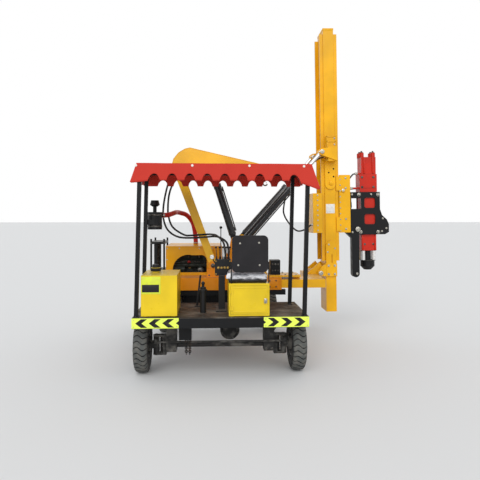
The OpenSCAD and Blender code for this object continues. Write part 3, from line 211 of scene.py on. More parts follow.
def noise_of(mat, scale, detail=4.0, stretch=EVEN):
    """Cloudy values around 0.5 on the object's own coordinates."""
    spread = add_node(mat, "Mapping")
    spread.inputs["Scale"].default_value = stretch
    link(mat, object_place(mat), spread.inputs["Vector"])
    cloud = add_node(mat, "TexNoise")
    cloud.inputs["Scale"].default_value = scale
    cloud.inputs["Detail"].default_value = detail
    link(mat, spread.outputs[0], cloud.inputs["Vector"])
    return cloud.outputs["Fac"]


def texture_of(mat, kind, scale, output):
    """Values of one of Blender's other textures on the object's own coordinates."""
    pattern = add_node(mat, kind)
    pattern.inputs["Scale"].default_value = scale
    link(mat, object_place(mat), pattern.inputs["Vector"])
    return pattern.outputs[output]


def remap(mat, value, low, high, to_low=0.0, to_high=1.0):
    """Value from low to high, made to run from to_low to to_high and no further."""
    ramp = add_node(mat, "MapRange", interpolation_type="SMOOTHSTEP")
    for socket, number in zip(("From Min", "From Max", "To Min", "To Max"), (low, high, to_low, to_high)):
        ramp.inputs[socket].default_value = number
    link(mat, value, ramp.inputs["Value"])
    return ramp.outputs[0]


def clouds(mat, scale, detail, low, high, to_low=0.0, to_high=1.0, stretch=EVEN):
    """Noise from low to high, made to run from to_low to to_high."""
    return remap(mat, noise_of(mat, scale, detail, stretch), low, high, to_low, to_high)


def calc(mat, operation, a, b=0):
    """One step of arithmetic, where a and b are numbers or other nodes' values."""
    step = add_node(mat, "Math", operation=operation)
    for socket, value in zip(step.inputs, (a, b)):
        if isinstance(value, (int, float)):
            socket.default_value = value
        else:
            link(mat, value, socket)
    return step.outputs[0]


def blend_colours(mat, share, first, second):
    """Colour that runs from first to second as share goes from 0 to 1."""
    mixed = add_node(mat, "Mix", data_type="RGBA", blend_type="MIX")
    link(mat, share, mixed.inputs["Factor"])
    for socket, colour in ((mixed.inputs[6], first), (mixed.inputs[7], second)):
        if isinstance(colour, tuple):
            socket.default_value = linear(*colour)
        else:
            link(mat, colour, socket)
    return mixed.outputs[2]


def facing_up(mat):
    """1 on faces that look up, 0 on walls and undersides."""
    split = add_node(mat, "SeparateXYZ")
    link(mat, add_node(mat, "NewGeometry").outputs["Normal"], split.inputs[0])
    return remap(mat, split.outputs["Z"], 0.5, 0.95)


EDGE_ROUND = 0.003
DUST = (150, 146, 138)
PAINT_GRAIN = 260
PAINT_SHADE = 0.90


def rounded_edges(mat):
    """(normals rounded at the edges, share that is near an edge)."""
    soft = add_node(mat, "Bevel", samples=4)
    soft.inputs["Radius"].default_value = EDGE_ROUND
    likeness = add_node(mat, "VectorMath", operation="DOT_PRODUCT")
    link(mat, soft.outputs[0], likeness.inputs[0])
    link(mat, add_node(mat, "NewGeometry").outputs["Normal"], likeness.inputs[1])
    return soft.outputs[0], remap(mat, likeness.outputs["Value"], 0.985, 0.90)


def bump(mat, height, distance, strength=1.0, normal=None):
    raised = add_node(mat, "Bump")
    raised.inputs["Distance"].default_value = distance
    raised.inputs["Strength"].default_value = strength
    link(mat, height, raised.inputs["Height"])
    if normal is not None:
        link(mat, normal, raised.inputs["Normal"])
    return raised.outputs[0]


def paint(name, colour, *wearers, roughness=0.35, dust=0.25, wear=0.25, chip=(70, 66, 60), coat=0.0,
          mud=0.0):
    """Sprayed paint: slow colour shifts, dust on upper faces, rubbed edges and a fine orange peel. Mud
    is the share of dirt thrown on every face, and wearers are the CAD nodes that are painted."""
    mat = surface(name, colour, roughness, Coat_Weight=coat, Coat_Roughness=0.15)
    darker = tuple(c * PAINT_SHADE for c in colour)
    tone = blend_colours(mat, clouds(mat, 2.2, 4, 0.3, 0.7), darker, colour)
    normal, edge = rounded_edges(mat)
    worn = calc(mat, "MULTIPLY", calc(mat, "MULTIPLY", edge, clouds(mat, 34, 8, 0.46, 0.62)), wear)
    tone = blend_colours(mat, worn, tone, chip)
    settled = calc(mat, "MULTIPLY", facing_up(mat), clouds(mat, 6, 6, 0.25, 0.75, 0.3, 1.0))
    settled = calc(mat, "MULTIPLY", settled, dust)
    if mud:
        settled = calc(mat, "MAXIMUM", settled, clouds(mat, 9, 7, 0.42, 0.66, 0.1 * mud, mud))
    rough = clouds(mat, 11, 5, 0.3, 0.7, roughness * 0.85, min(1.0, roughness * 1.3))
    feed(mat, Base_Color=blend_colours(mat, settled, tone, DUST),
         Roughness=calc(mat, "ADD", rough, calc(mat, "MULTIPLY", settled, 0.4)),
         Normal=bump(mat, noise_of(mat, PAINT_GRAIN, 2), 0.0002, 0.6, normal))
    dress(mat, *wearers)
    return mat


def mottled(name, first, second, scale, detail, low, high, most=1.0, stretch=EVEN, **looks):
    """A material that runs from one colour to a second in clouds. Looks are surface's other values."""
    mat = surface(name, first, **looks)
    share = clouds(mat, scale, detail, low, high, 0, most, stretch)
    feed(mat, Base_Color=blend_colours(mat, share, first, second))
    return mat


def grain(mat, scale, detail, distance, strength):
    """Gives a material a fine rough skin."""
    feed(mat, Normal=bump(mat, noise_of(mat, scale, detail), distance, strength))


def dress(mat, *names):
    """Gives CAD nodes a material."""
    for name in names:
        nodes[name].data.materials.clear()
        nodes[name].data.materials.append(mat)


# Shapes. Each adds itself to a bmesh, and its places are tuples or Vectors as for place().
def round_edges(bm, edges, offset, segments):
    done = bmesh.ops.bevel(bm, geom=edges, offset=offset, offset_type="OFFSET", segments=segments,
                           profile=0.5, affect="EDGES", material=-1)
    return done["faces"]


def box(bm, low, high, bevel=0.0, segments=2):
    """A box between two corners, its edges rounded by bevel."""
    low, high = place(low), place(high)
    made = bmesh.ops.create_cube(bm, size=1.0)["verts"]
    bmesh.ops.scale(bm, vec=high - low, verts=made)
    bmesh.ops.translate(bm, vec=(low + high) / 2, verts=made)
    if bevel:
        round_edges(bm, list({e for v in made for e in v.link_edges}), bevel, segments)


def rod(bm, start, end, radius, end_radius=None, sides=20, bevel=0.0):
    """A round bar, or a cone, from start to end."""
    start, end = place(start), place(end)
    made = bmesh.ops.create_cone(bm, cap_ends=True, segments=sides, radius1=radius,
                                 radius2=radius if end_radius is None else end_radius,
                                 depth=(end - start).length)["verts"]
    turn = (end - start).to_track_quat("Z", "Y").to_matrix().to_4x4()
    bmesh.ops.transform(bm, matrix=Matrix.Translation((start + end) / 2) @ turn, verts=made)
    if bevel:
        rims = [e for e in {e for v in made for e in v.link_edges}
                if any(len(f.verts) > 4 for f in e.link_faces)]
        round_edges(bm, rims, bevel, 2)


def stud(bm, x, z, y0, y1, radius, **how):
    """A round bar that runs from y0 to y1."""
    rod(bm, (x, y0, z), (x, y1, z), radius, **how)


def bolt(bm, head_at, across, out=REARWARD, height=None, washer=True):
    """A hexagon head on a washer, that stands on a face at head_at and points along out."""
    out = Vector(out).normalized()
    foot = place(head_at)
    if washer:
        rod(bm, foot, foot + out * across * 0.14, across * 0.78, sides=16)
        foot = foot + out * across * 0.14
    rod(bm, foot, foot + out * (height or across * 0.62), across * 0.56, sides=6, bevel=across * 0.06)


def rear_bolts(bm, y, across, places):
    """Bolts on a face that looks backwards, at places given as (x, z)."""
    for x, z in places:
        bolt(bm, (x, y, z), across)


def ball(bm, centre, radius, scale=EVEN, u=18, v=12):
    """A ball, or an egg. Returns its vertices."""
    made = bmesh.ops.create_uvsphere(bm, u_segments=u, v_segments=v, radius=radius)["verts"]
    bmesh.ops.scale(bm, vec=scale, verts=made)
    bmesh.ops.translate(bm, vec=place(centre), verts=made)
    return made


def weld(bm, start, end, width=0.007):
    """A weld bead: a thin round bar with the ripples of its runs."""
    start, along = place(start), place(end) - place(start)
    turn = along.to_track_quat("Z", "Y").to_matrix()
    count = max(4, 2 * round(along.length / 0.016))
    rings = []
    for step in range(count + 1):
        wide = width / 2 * (1.15 if step % 2 else 0.85)
        middle = start + along * step / count
        rings.append([bm.verts.new(middle + turn @ Vector((math.cos(a) * wide, math.sin(a) * wide, 0)))
                      for a in (math.tau * k / 6 for k in range(6))])
    for first, second in zip(rings, rings[1:]):
        for k in range(6):
            bm.faces.new((first[k], first[(k + 1) % 6], second[(k + 1) % 6], second[k]))
    bm.faces.new(rings[0][::-1])
    bm.faces.new(rings[-1])


def mesh_of(name, bm):
    """A mesh of a finished bmesh, with its faces turned outwards."""
    bmesh.ops.recalc_face_normals(bm, faces=bm.faces)
    mesh = bpy.data.meshes.new(name)
    bm.to_mesh(mesh)
    bm.free()
    return mesh


def final_mesh(thing):
    """The mesh of an object with its modifiers applied."""
    return bpy.data.meshes.new_from_object(thing.evaluated_get(bpy.context.evaluated_depsgraph_get()))


def add_piece(name, bm, body, slot, *mats, smooth=None):
    """Makes an object of a finished bmesh. It rides on a CAD body, if one is given, and smooth is the
    angle above which an edge stays sharp."""
    mesh = mesh_of(name, bm)
    for mat in mats:
        mesh.materials.append(mat)
    piece = new_object(name, mesh)
    if smooth is not None:
        mesh.shade_smooth()
        mesh.set_sharp_from_angle(angle=math.radians(smooth))
    if body:
        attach(piece, body)
    return piece


# The mast is parked a little off plumb. What it carries is drawn upright and then leans with it.
MAST_LEAN = math.radians(-0.8)
PIVOT = (1.421, 0.950)
lean_about = at(PIVOT[0], 0, PIVOT[1])
mast_turn = (Matrix.Translation(lean_about) @ Matrix.Rotation(MAST_LEAN, 4, "Y")
             @ Matrix.Translation(-lean_about))


@contextmanager
def fittings(name, mat, smooth=30, body="chassis", slot="black_paint", leans=False, replaces=None):
    """A piece made of the shapes that are added inside the block."""
    bm = bmesh.new()
    yield bm
    if leans:
        bmesh.ops.transform(bm, matrix=mast_turn, verts=bm.verts)
    piece = add_piece(name, bm, body, slot, mat, smooth=smooth)
    if replaces:
        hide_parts(replaces)


on_panels = partial(fittings, slot="yellow_paint")
on_door = partial(fittings, body="seat_box_door", slot="yellow_paint")
on_seat = partial(fittings, slot="seat_vinyl")
on_engine = partial(fittings, slot="engine_iron")
on_sleeve = partial(fittings, slot="orange_paint")
on_beam = partial(fittings, body="cross_slide", slot="yellow_paint")
on_mast = partial(fittings, body="mast", slot="yellow_paint", leans=True)
on_carriage = partial(fittings, body="carriage", leans=True)
on_hammer = partial(on_carriage, slot="red_paint")
on_jib = partial(fittings, body="jib", slot="yellow_paint")

# Frame, radiator stand and posts: welded steel in satin black paint, dusty on its upper faces and
# rubbed along its edges.
BLACK_PAINT = (17, 18, 20)
black_paint = paint("black_paint", BLACK_PAINT, "frame", "canopy_frame", "radiator", "slide_valve_box",
                    roughness=0.38, dust=0.30, wear=0.5, chip=(120, 118, 112))

# Deck plate: bare steel that boots have worn dark and brown, with brighter rubbed patches, and
# scratches along the machine.
DECK_DARK, DECK_WORN = (62, 57, 52), (112, 106, 98)
DECK_RUST, DECK_SCRATCH = (96, 70, 50), (150, 146, 138)

deck_steel = surface("worn_deck", DECK_DARK, roughness=0.6, metallic=0.35)
deck_tone = blend_colours(deck_steel, clouds(deck_steel, 3.0, 8, 0.42, 0.68), DECK_DARK, DECK_WORN)
stains = clouds(deck_steel, 7.5, 8, 0.52, 0.75, 0, 0.55)
deck_tone = blend_colours(deck_steel, stains, deck_tone, DECK_RUST)
scratches = clouds(deck_steel, 22, 6, 0.60, 0.68, 0, 0.35, stretch=(1, 12, 1))
deck_tone = blend_colours(deck_steel, scratches, deck_tone, DECK_SCRATCH)
dents = bump(deck_steel, noise_of(deck_steel, 30, 6), 0.0015, 0.5, rounded_edges(deck_steel)[0])
feed(deck_steel, Base_Color=deck_tone, Roughness=clouds(deck_steel, 9, 6, 0.3, 0.7, 0.42, 0.8), Normal=dents)
dress(deck_steel, "deck")

# Warning plates on the rear beam: lime reflective film with black chevrons that point outwards, on
# thin steel, held by small screws.
LIME, FILM_BLACK, FILM_GRIME = (232, 250, 96), (26, 26, 28), (120, 118, 96)
CHEVRON_PITCH = 0.139
CHEVRON_TIP = 0.888
CHEVRON_SLOPE = 1.3
CHEVRON_SHARE = 0.47
CHEVRON_HALF_HIGH = 0.045
BEAD_SCALE = 900
SCREW_SIDE, SCREW_EDGE = 0.02, 0.018
plate_lo, plate_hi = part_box("chevrons")

film = surface("chevron_film", LIME, roughness=0.35)
film_at = object_axes(film)
outwards = calc(film, "ABSOLUTE", calc(film, "SUBTRACT", film_at["X"], MIDDLE_X))
off_middle = calc(film, "ABSOLUTE", calc(film, "SUBTRACT", film_at["Z"], (plate_lo.z + plate_hi.z) / 2))
leaning = calc(film, "ADD", outwards, calc(film, "MULTIPLY", off_middle, CHEVRON_SLOPE))
# Ten more pitches keep the number of turns above 0, where a fraction of it is taken
inwards = calc(film, "SUBTRACT", CHEVRON_TIP + 10 * CHEVRON_PITCH, leaning)
turns = calc(film, "FRACT", calc(film, "DIVIDE", inwards, CHEVRON_PITCH))
stripe = remap(film, turns, CHEVRON_SHARE - 0.01, CHEVRON_SHARE + 0.01, 1, 0)
margin = remap(film, off_middle, CHEVRON_HALF_HIGH - 0.0005, CHEVRON_HALF_HIGH + 0.0005, 1, 0)
# No chevron starts outside the last full tip
inside = remap(film, leaning, CHEVRON_TIP, CHEVRON_TIP + 0.001, 1, 0)
stripe = calc(film, "MULTIPLY", calc(film, "MULTIPLY", stripe, margin), inside)
film_tone = blend_colours(film, stripe, LIME, FILM_BLACK)
feed(film, Base_Color=blend_colours(film, clouds(film, 14, 8, 0.5, 0.8, 0, 0.22), film_tone, FILM_GRIME),
     Normal=bump(film, texture_of(film, "TexVoronoi", BEAD_SCALE, "Distance"), 0.0002, 0.3))
dress(film, "chevrons")

zinc = mottled("zinc_plate", (150, 146, 138), (205, 202, 190), 60, 4, 0.35, 0.7, roughness=0.35,
               metallic=0.9)
with fittings("plate_screws", zinc, slot="chevron_film") as bm:
    for side, inner in ((-1, 0.441), (1, 0.447)):
        for x, z in product((inner + SCREW_SIDE, deck_hi.x - MIDDLE_X - SCREW_SIDE),
                            (plate_lo.z + SCREW_EDGE, plate_hi.z - SCREW_EDGE)):
            bolt(bm, (side * x, plate_lo.y - REAR_Y, z), 0.009, washer=False)

# Axles, knuckles, track rod and transfer case: cast and welded steel under thin black paint, with
# road dirt thrown on every face. The housing's joint face is held by a ring of bolts.
AXLE_BLACK = (34, 34, 35)
CASE_X, CASE_Z, CASE_REAR = 0.116, 0.397, 0.700
CASE_RING, CASE_BOLTS = 0.100, 8

axle_paint = paint("axle_paint", AXLE_BLACK, "rear_axle", "front_axle", "transfer_case", "knuckle_left",
                   "knuckle_right", "tie_rod", roughness=0.55, dust=0.55, wear=0.5, chip=(104, 96, 86),
                   mud=0.45)
oily_steel = mottled("oily_steel", (104, 102, 98), (60, 52, 46), 40, 6, 0.4, 0.65, roughness=0.38,
                     metallic=0.75)
with fittings("transfer_case_bolts", oily_steel) as bm:
    for turn in range(CASE_BOLTS):
        angle = math.tau * (turn + 0.5) / CASE_BOLTS
        x, z = CASE_X + CASE_RING * math.cos(angle), CASE_Z + CASE_RING * math.sin(angle)
        bolt(bm, (x, CASE_REAR, z), 0.014)
with fittings("axle_bolts", oily_steel) as bm:
    for side, x, z in product((-1, 1), (0.515, 0.577), (0.255, 0.545)):
        bolt(bm, (side * x, 0.380, z), 0.020)

# Tyres: black rubber with a wavy block tread. Each groove crosses the whole width as one wave, the
# blocks are grey with dust, and the side walls stay nearly black. They are spun from their profile.
TYRE_RADIUS = 0.300
TREAD_PITCHES = 30
TREAD_WAVE = 0.019
TREAD_DEPTH = 0.012
TREAD_HALF = 0.066
TREAD_COLUMNS = (0.0, 0.2, 0.41, 0.795, 0.825, 0.972)
FIRST_GROOVE_COLUMN = 4
BLOCK_RADIUS = 0.262
GROOVE_END, GROOVE_FADE = 0.245, 0.03
WAVE_END, WAVE_FADE = 0.20, 0.06
TYRE_SIDE = ((0.056, 0.1312), (0.061, 0.142), (0.071, 0.163), (0.0782, 0.188), (0.0810, 0.215),
             (0.0806, 0.236), (0.0785, 0.254), (0.0745, 0.2695), (0.0690, 0.2815), (0.0625, 0.2900))
TYRE_CROWN = ((0.0545, 0.2948), (0.045, 0.2974), (0.035, 0.2986), (0.025, 0.2993), (0.0125, 0.2999),
              (0.0, 0.3))
RUBBER_BLACK, BLOCK_GREY, ROAD_DUST = (38, 38, 40), (84, 86, 84), (122, 118, 110)


def rubber(name, colour, dusty):
    mat = mottled(name, colour, ROAD_DUST, 18, 7, 0.38, 0.7, dusty, roughness=0.72)
    feed(mat, Roughness=clouds(mat, 30, 5, 0.3, 0.7, 0.6, 0.9))
    grain(mat, 180, 6, 0.0006, 0.6)
    return mat


tyre_wall = rubber("tyre_wall", RUBBER_BLACK, 0.30)
tyre_block = rubber("tyre_block", BLOCK_GREY, 0.55)


def within(value, low=0.0, high=1.0):
    return min(high, max(low, value))


def spin_tyre(node, body):
    """A tyre in a CAD tyre's place: a ring whose columns follow the wave of the grooves."""
    low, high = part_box(node)
    hub = (low + high) / 2
    half = [*TYRE_SIDE, *TYRE_CROWN]
    outline = [(-x, r) for x, r in half] + [(x, r) for x, r in reversed(half[:-1])]
    bm = bmesh.new()
    ring = [bm.verts.new((x, 0, r)) for x, r in outline]
    closed = [bm.edges.new((a, b)) for a, b in zip(ring, ring[1:] + ring[:1])]
    steps = TREAD_PITCHES * len(TREAD_COLUMNS)
    bmesh.ops.spin(bm, geom=ring + closed, cent=(0, 0, 0), axis=(1, 0, 0), angle=math.tau, steps=steps,
                   use_merge=True)
    grooved = set()
    for vert in bm.verts:
        x, radius = vert.co.x, math.hypot(vert.co.y, vert.co.z)
        column = round(math.atan2(vert.co.y, vert.co.z) / math.tau * steps) % steps
        pitch, step = divmod(column, len(TREAD_COLUMNS))
        angle = (pitch + TREAD_COLUMNS[step]) / TREAD_PITCHES * math.tau
        wave = -TREAD_WAVE * math.sin(math.pi * within(x / TREAD_HALF, -1.0))
        angle += wave / TYRE_RADIUS * within((radius - WAVE_END) / WAVE_FADE)
        if step >= FIRST_GROOVE_COLUMN:
            # The grooves run out halfway down the side wall
            radius -= TREAD_DEPTH * within((radius - GROOVE_END) / GROOVE_FADE)
            grooved.add(vert)
        vert.co = Vector((x, radius * math.sin(angle), radius * math.cos(angle))) + hub
    for face in bm.faces:
        lowest = min(math.hypot(v.co.y - hub.y, v.co.z - hub.z) for v in face.verts)
        face.material_index = int(lowest > BLOCK_RADIUS and not any(v in grooved for v in face.verts))
    piece = add_piece(node + "_tread", bm, body, "tyre_rubber", tyre_wall, tyre_block, smooth=32)
    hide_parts(node)


WHEELS = ("rear_left", "rear_right", "front_left", "front_right")
for wheel in WHEELS:
    spin_tyre("tyre_" + wheel, "wheel_" + wheel)

# Rims: pressed steel discs in dark grey paint, dusty.
rim_paint = paint("rim_paint", (58, 58, 60), *("rim_" + wheel for wheel in WHEELS),
                  roughness=0.5, dust=0.4, wear=0.5, chip=(128, 122, 112), mud=0.35)

# Tank box: folded sheet steel in gloss yellow, with a hand slot and a dark grip on its top and a blank
# lime plate with a dark panel at its upper left. The hand slot is painted shade: a thin dark sheet where
# its opening lies in shade. The filler cap is dark plastic with a ribbed skirt.
BOX_YELLOW = (236, 202, 30)
PLATE_LIME, PLATE_FADED = (214, 226, 60), (196, 190, 90)
CAP_AT, CAP_RADIUS, CAP_RIBS = (-0.715, 0.370), 0.054, 20
TANK_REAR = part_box("tank_box")[0].y - REAR_Y

box_paint = paint("box_paint", BOX_YELLOW, "tank_box", "seat_box", "seat_box_door",
                  roughness=0.32, dust=0.30, wear=0.55, chip=(96, 72, 40), coat=0.2)
dark_trim = paint("dark_trim", (34, 34, 36), roughness=0.5, dust=0.2, wear=0.1)
# The hand slot's dark sheet is painted shade for the slot's opening; the grip is dark trim.
with fittings("tank_slot_shade_and_grip", dark_trim) as bm:
    box(bm, (-0.684, TANK_REAR + 0.165, 1.1115), (-0.594, TANK_REAR + 0.225, 1.1165), bevel=0.0015)
    box(bm, (-0.629, TANK_REAR + 0.091, 1.1042), (-0.551, TANK_REAR + 0.113, 1.1062))
plate_film = mottled("blank_plate_film", PLATE_LIME, PLATE_FADED, 25, 6, 0.4, 0.7, 0.5, roughness=0.35)
with on_panels("tank_blank_plate", plate_film) as bm:
    box(bm, (-0.8315, TANK_REAR - 0.0020, 0.924), (-0.632, TANK_REAR + 0.001, 1.106), bevel=0.0006)
with on_panels("tank_dark_panel", dark_trim) as bm:
    box(bm, (-0.824, TANK_REAR - 0.0032, 0.943), (-0.647, TANK_REAR, 1.022), bevel=0.0006)
with fittings("tank_cap_shell", dark_trim) as bm:
    rod(bm, (*CAP_AT, 1.1295), (*CAP_AT, 1.1675), CAP_RADIUS, sides=40, bevel=0.004)
    rod(bm, (*CAP_AT, 1.1670), (*CAP_AT, 1.2060), 0.041, end_radius=0.037, sides=36, bevel=0.004)
    for rib in range(CAP_RIBS):
        turned = math.tau * rib / CAP_RIBS
        edge = Vector((math.cos(turned), math.sin(turned), 0)) * CAP_RADIUS
        rod(bm, at(*CAP_AT, 1.1320) + edge, at(*CAP_AT, 1.1640) + edge, 0.0028, sides=8)

# Seat box: the same yellow sheet. Its door has a pressed frame and a bright draw latch.
with on_door("door_latch", zinc) as bm:
    box(bm, (0.4515, 0.0105, 0.822), (0.4835, 0.0225, 0.872), bevel=0.002)
    stud(bm, 0.4675, 0.848, 0.0105, 0.0060, 0.007, sides=16, bevel=0.001)
with on_door("door_pressed_rib", box_paint) as bm:
    for x0, x1, z0, z1 in ((0.112, 0.480, 0.722, 0.736), (0.112, 0.480, 0.975, 0.989),
                           (0.112, 0.126, 0.736, 0.975), (0.466, 0.480, 0.736, 0.815),
                           (0.466, 0.480, 0.880, 0.975)):
        box(bm, (x0, 0.0275, z0), (x1, 0.0305, z1), bevel=0.0012)

# Ribbed rubber boots that keep dirt off the kingpins, between the axle's legs and the knuckles.
KINGPIN_X, KINGPIN_Y = 0.6610, 0.450
BOOT_FOOT, BOOT_PITCH, BOOT_RINGS = 0.214, 0.0195, 9
BOOT_NECK, BOOT_WIDE, BOOT_RISE = 0.0125, 0.0160, 0.0100
boot_rubber = mottled("boot_rubber", (26, 26, 27), (74, 68, 60), 30, 6, 0.4, 0.7, 0.6, roughness=0.7)
with fittings("kingpin_boots", boot_rubber) as bm:
    for side, ring in product((-KINGPIN_X, KINGPIN_X), range(BOOT_RINGS)):
        low = BOOT_FOOT + BOOT_PITCH * ring
        heights = [(side, KINGPIN_Y, low + rise) for rise in (0, BOOT_RISE, BOOT_PITCH)]
        rod(bm, heights[0], heights[1], BOOT_NECK, end_radius=BOOT_WIDE)
        rod(bm, heights[1], heights[2], BOOT_WIDE, end_radius=BOOT_NECK)

# Seat cushion: a crowned foam pad in black vinyl, its upper part still under silvery wrinkled wrapping,
# with a bunch of pale film at its left end. A cloth simulation blows it up and gives the kept shape.
VINYL_BLACK, VINYL_WORN, VINYL_LOW = (17, 15, 19), (28, 25, 29), (34, 33, 36)
CREASE_BRIGHT, CREASE_DARK = (200, 200, 204), (124, 124, 130)
FILM_SILVER, FILM_PALE = (146, 146, 149), (224, 224, 226)
CUSHION_CAP, CUSHION_CROWN = 0.016, 0.016
FILM_EDGE = 0.052
PAD_VOXEL, PAD_ROUND = 0.006, 0.22
PAD_PRESSURE = 4.0
PAD_FRAMES = 20
PAD_OVER_SIDES, PAD_OVER_TOP = 0.006, 0.008
cushion_lo, cushion_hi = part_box("seat_cushion")


def pad_shape(name, low, high, mat, cap, crown, tuck=0.008):
    """A foam pad between two corners: rounded and crowned, then blown up by Blender's cloth."""
    size = high - low
    bm = bmesh.new()
    box(bm, low + Vector((tuck, tuck, 0.001)), high - Vector((tuck, tuck, crown)),
        bevel=min(size) * PAD_ROUND, segments=4)
    pad = new_object(name, mesh_of(name, bm))
    remesh = pad.modifiers.new("remesh", "REMESH")
    remesh.mode = "VOXEL"
    remesh.voxel_size = PAD_VOXEL
    bpy.context.view_layer.update()
    dense = final_mesh(pad)
    pad.modifiers.remove(remesh)
    pad.data = dense
    start = [v.co.copy() for v in dense.vertices]
    cloth = pad.modifiers.new("cloth", "CLOTH")
    cloth.settings.use_pressure = True
    cloth.settings.uniform_pressure_force = PAD_PRESSURE
    cloth.settings.effector_weights.gravity = 0
    cloth.settings.quality = 4
    for frame_number in range(1, PAD_FRAMES + 1):
        bpy.context.scene.frame_set(frame_number)
    blown = final_mesh(pad)
    places = [v.co.copy() for v in blown.vertices]
    pad.modifiers.remove(cloth)
    bpy.context.scene.frame_set(1)
    bpy.data.meshes.remove(blown)
    for vert, was, now in zip(dense.vertices, start, places):
        step = now - was
        vert.co = was + step * (min(1.0, cap / step.length) if step.length > 0 else 0)
    middle = (low + high) / 2
    for vert in dense.vertices:
        # The top is crowned, and the pad never leaves the room of its solid
        u = (vert.co.x - middle.x) / size.x * 2
        v = (vert.co.y - middle.y) / size.y * 2
        rise = max(0.0, 1 - u * u) * max(0.0, 1 - v * v)
        up = max(0.0, (vert.co.z - middle.z) / size.z * 2)
        vert.co.z += crown * 0.5 * rise * up
        vert.co.x = within(vert.co.x, low.x - PAD_OVER_SIDES, high.x + PAD_OVER_SIDES)
        vert.co.y = within(vert.co.y, low.y - PAD_OVER_SIDES, high.y + PAD_OVER_SIDES)
        vert.co.z = within(vert.co.z, low.z, high.z + PAD_OVER_TOP)
    dense.shade_smooth()
    dense.materials.clear()
    dense.materials.append(mat)
    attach(pad, "chassis")
    return pad


wrap_film = surface("wrap_film", FILM_SILVER, roughness=0.28, Coat_Weight=0.5, Coat_Roughness=0.12)
creases = noise_of(wrap_film, 11, 5, stretch=(1.0, 1.0, 2.4))
sharp = calc(wrap_film, "ABSOLUTE", calc(wrap_film, "SUBTRACT", creases, 0.5))
# Painted highlights: the crease lines are painted bright and the film between them darker, as glints of the
# wrinkled film.
silver_with_glints = blend_colours(wrap_film, remap(wrap_film, sharp, 0.0, 0.16), CREASE_BRIGHT, CREASE_DARK)
ragged = calc(wrap_film, "MULTIPLY", noise_of(wrap_film, 14, 3), 0.030)
torn = calc(wrap_film, "ADD", object_axes(wrap_film)["Z"], ragged)
covered = remap(wrap_film, torn, cushion_lo.z + FILM_EDGE, cushion_lo.z + FILM_EDGE + 0.016)
feed(wrap_film, Base_Color=blend_colours(wrap_film, covered, VINYL_LOW, silver_with_glints),
     Normal=bump(wrap_film, remap(wrap_film, sharp, 0.0, 0.12, 1, 0), 0.004, 0.9))
cushion = pad_shape("cushion_pad", cushion_lo, cushion_hi, wrap_film, CUSHION_CAP, CUSHION_CROWN)
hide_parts("seat_cushion")
white_film = surface("white_film", FILM_PALE, roughness=0.35)
grain(white_film, 60, 4, 0.002, 0.7)
with on_seat("film_bunch", white_film, smooth=60) as bm:
    for fold in range(6):
        spot = (0.066 + 0.006 * fold, 0.040 + 0.003 * (fold % 2), 1.098 + 0.010 * (fold % 3))
        for vert in ball(bm, spot, 0.013, scale=(1, 0.6, 1.6), u=14, v=10):
            ruffle = noise.noise(vert.co * 90) * 0.004
            vert.co += Vector((ruffle, ruffle * 0.4, -ruffle))

# Backrest: a padded board in black vinyl, with a flat rear panel held by four bolts, on two flat
# steel arms that stand on the box behind the cushion.
BACK_X, BACK_Y, BACK_Z = (0.114, 0.497), (0.020, 0.090), (1.147, 1.535)
BOARD_THICK, BOARD_CORNER, BOARD_EDGE = 0.016, 0.05, 0.004
BACK_MARGIN = 0.006
ARM_X, ARM_WIDE, ARM_REAR = (0.1015, 0.4965), 0.0125, 0.030

vinyl = mottled("black_vinyl", VINYL_BLACK, VINYL_WORN, 5, 5, 0.35, 0.7, roughness=0.46, Coat_Weight=0.15,
                Coat_Roughness=0.3)
feed(vinyl, Normal=bump(vinyl, texture_of(vinyl, "TexVoronoi", 420, "Distance"), 0.0005, 0.5))
board_middle = at(sum(BACK_X) / 2, BACK_Y[0] + BOARD_THICK, sum(BACK_Z) / 2)
with on_seat("backrest_board", vinyl, smooth=40, replaces="seat_back") as bm:
    sheet = bmesh.ops.create_grid(bm, x_segments=1, y_segments=1, size=0.5)["verts"]
    bmesh.ops.scale(bm, vec=(BACK_X[1] - BACK_X[0], BACK_Z[1] - BACK_Z[0], 1), verts=sheet)
    bmesh.ops.bevel(bm, geom=bm.verts[:], offset=BOARD_CORNER, offset_type="OFFSET", segments=8, profile=0.5,
                    affect="VERTICES", material=-1)
    for grown in bmesh.ops.extrude_face_region(bm, geom=bm.faces[:])["geom"]:
        if isinstance(grown, bmesh.types.BMVert):
            grown.co.z += BOARD_THICK
    rims = [e for e in bm.edges if len(e.link_faces) == 2 and abs(e.calc_face_angle(0)) > 1.2]
    round_edges(bm, rims, BOARD_EDGE, 3)
    stand_up = Matrix.Rotation(math.radians(90), 4, "X")
    bmesh.ops.transform(bm, matrix=Matrix.Translation(board_middle) @ stand_up, verts=bm.verts)
back_pad = pad_shape("backrest_pad",
                     at(BACK_X[0] + BACK_MARGIN, BACK_Y[0] + BOARD_THICK + 0.0005, BACK_Z[0] + BACK_MARGIN),
                     at(BACK_X[1] - BACK_MARGIN, BACK_Y[1], BACK_Z[1] - BACK_MARGIN),
                     vinyl, 0.007, 0.004, tuck=0.004)
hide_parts("seat_back")
with on_seat("backrest_arms", black_paint, replaces="seat_back") as bm:
    for x in ARM_X:
        box(bm, (x, ARM_REAR, 1.0290), (x + ARM_WIDE, 0.0367, 1.258), bevel=0.0015)
        bolt(bm, (x + ARM_WIDE / 2, ARM_REAR, 1.245), 0.0085)
with on_seat("backrest_bolts", zinc) as bm:
    rear_bolts(bm, BACK_Y[0], 0.013, ((0.1985, 1.4515), (0.3985, 1.4575), (0.180, 1.223), (0.405, 1.223)))

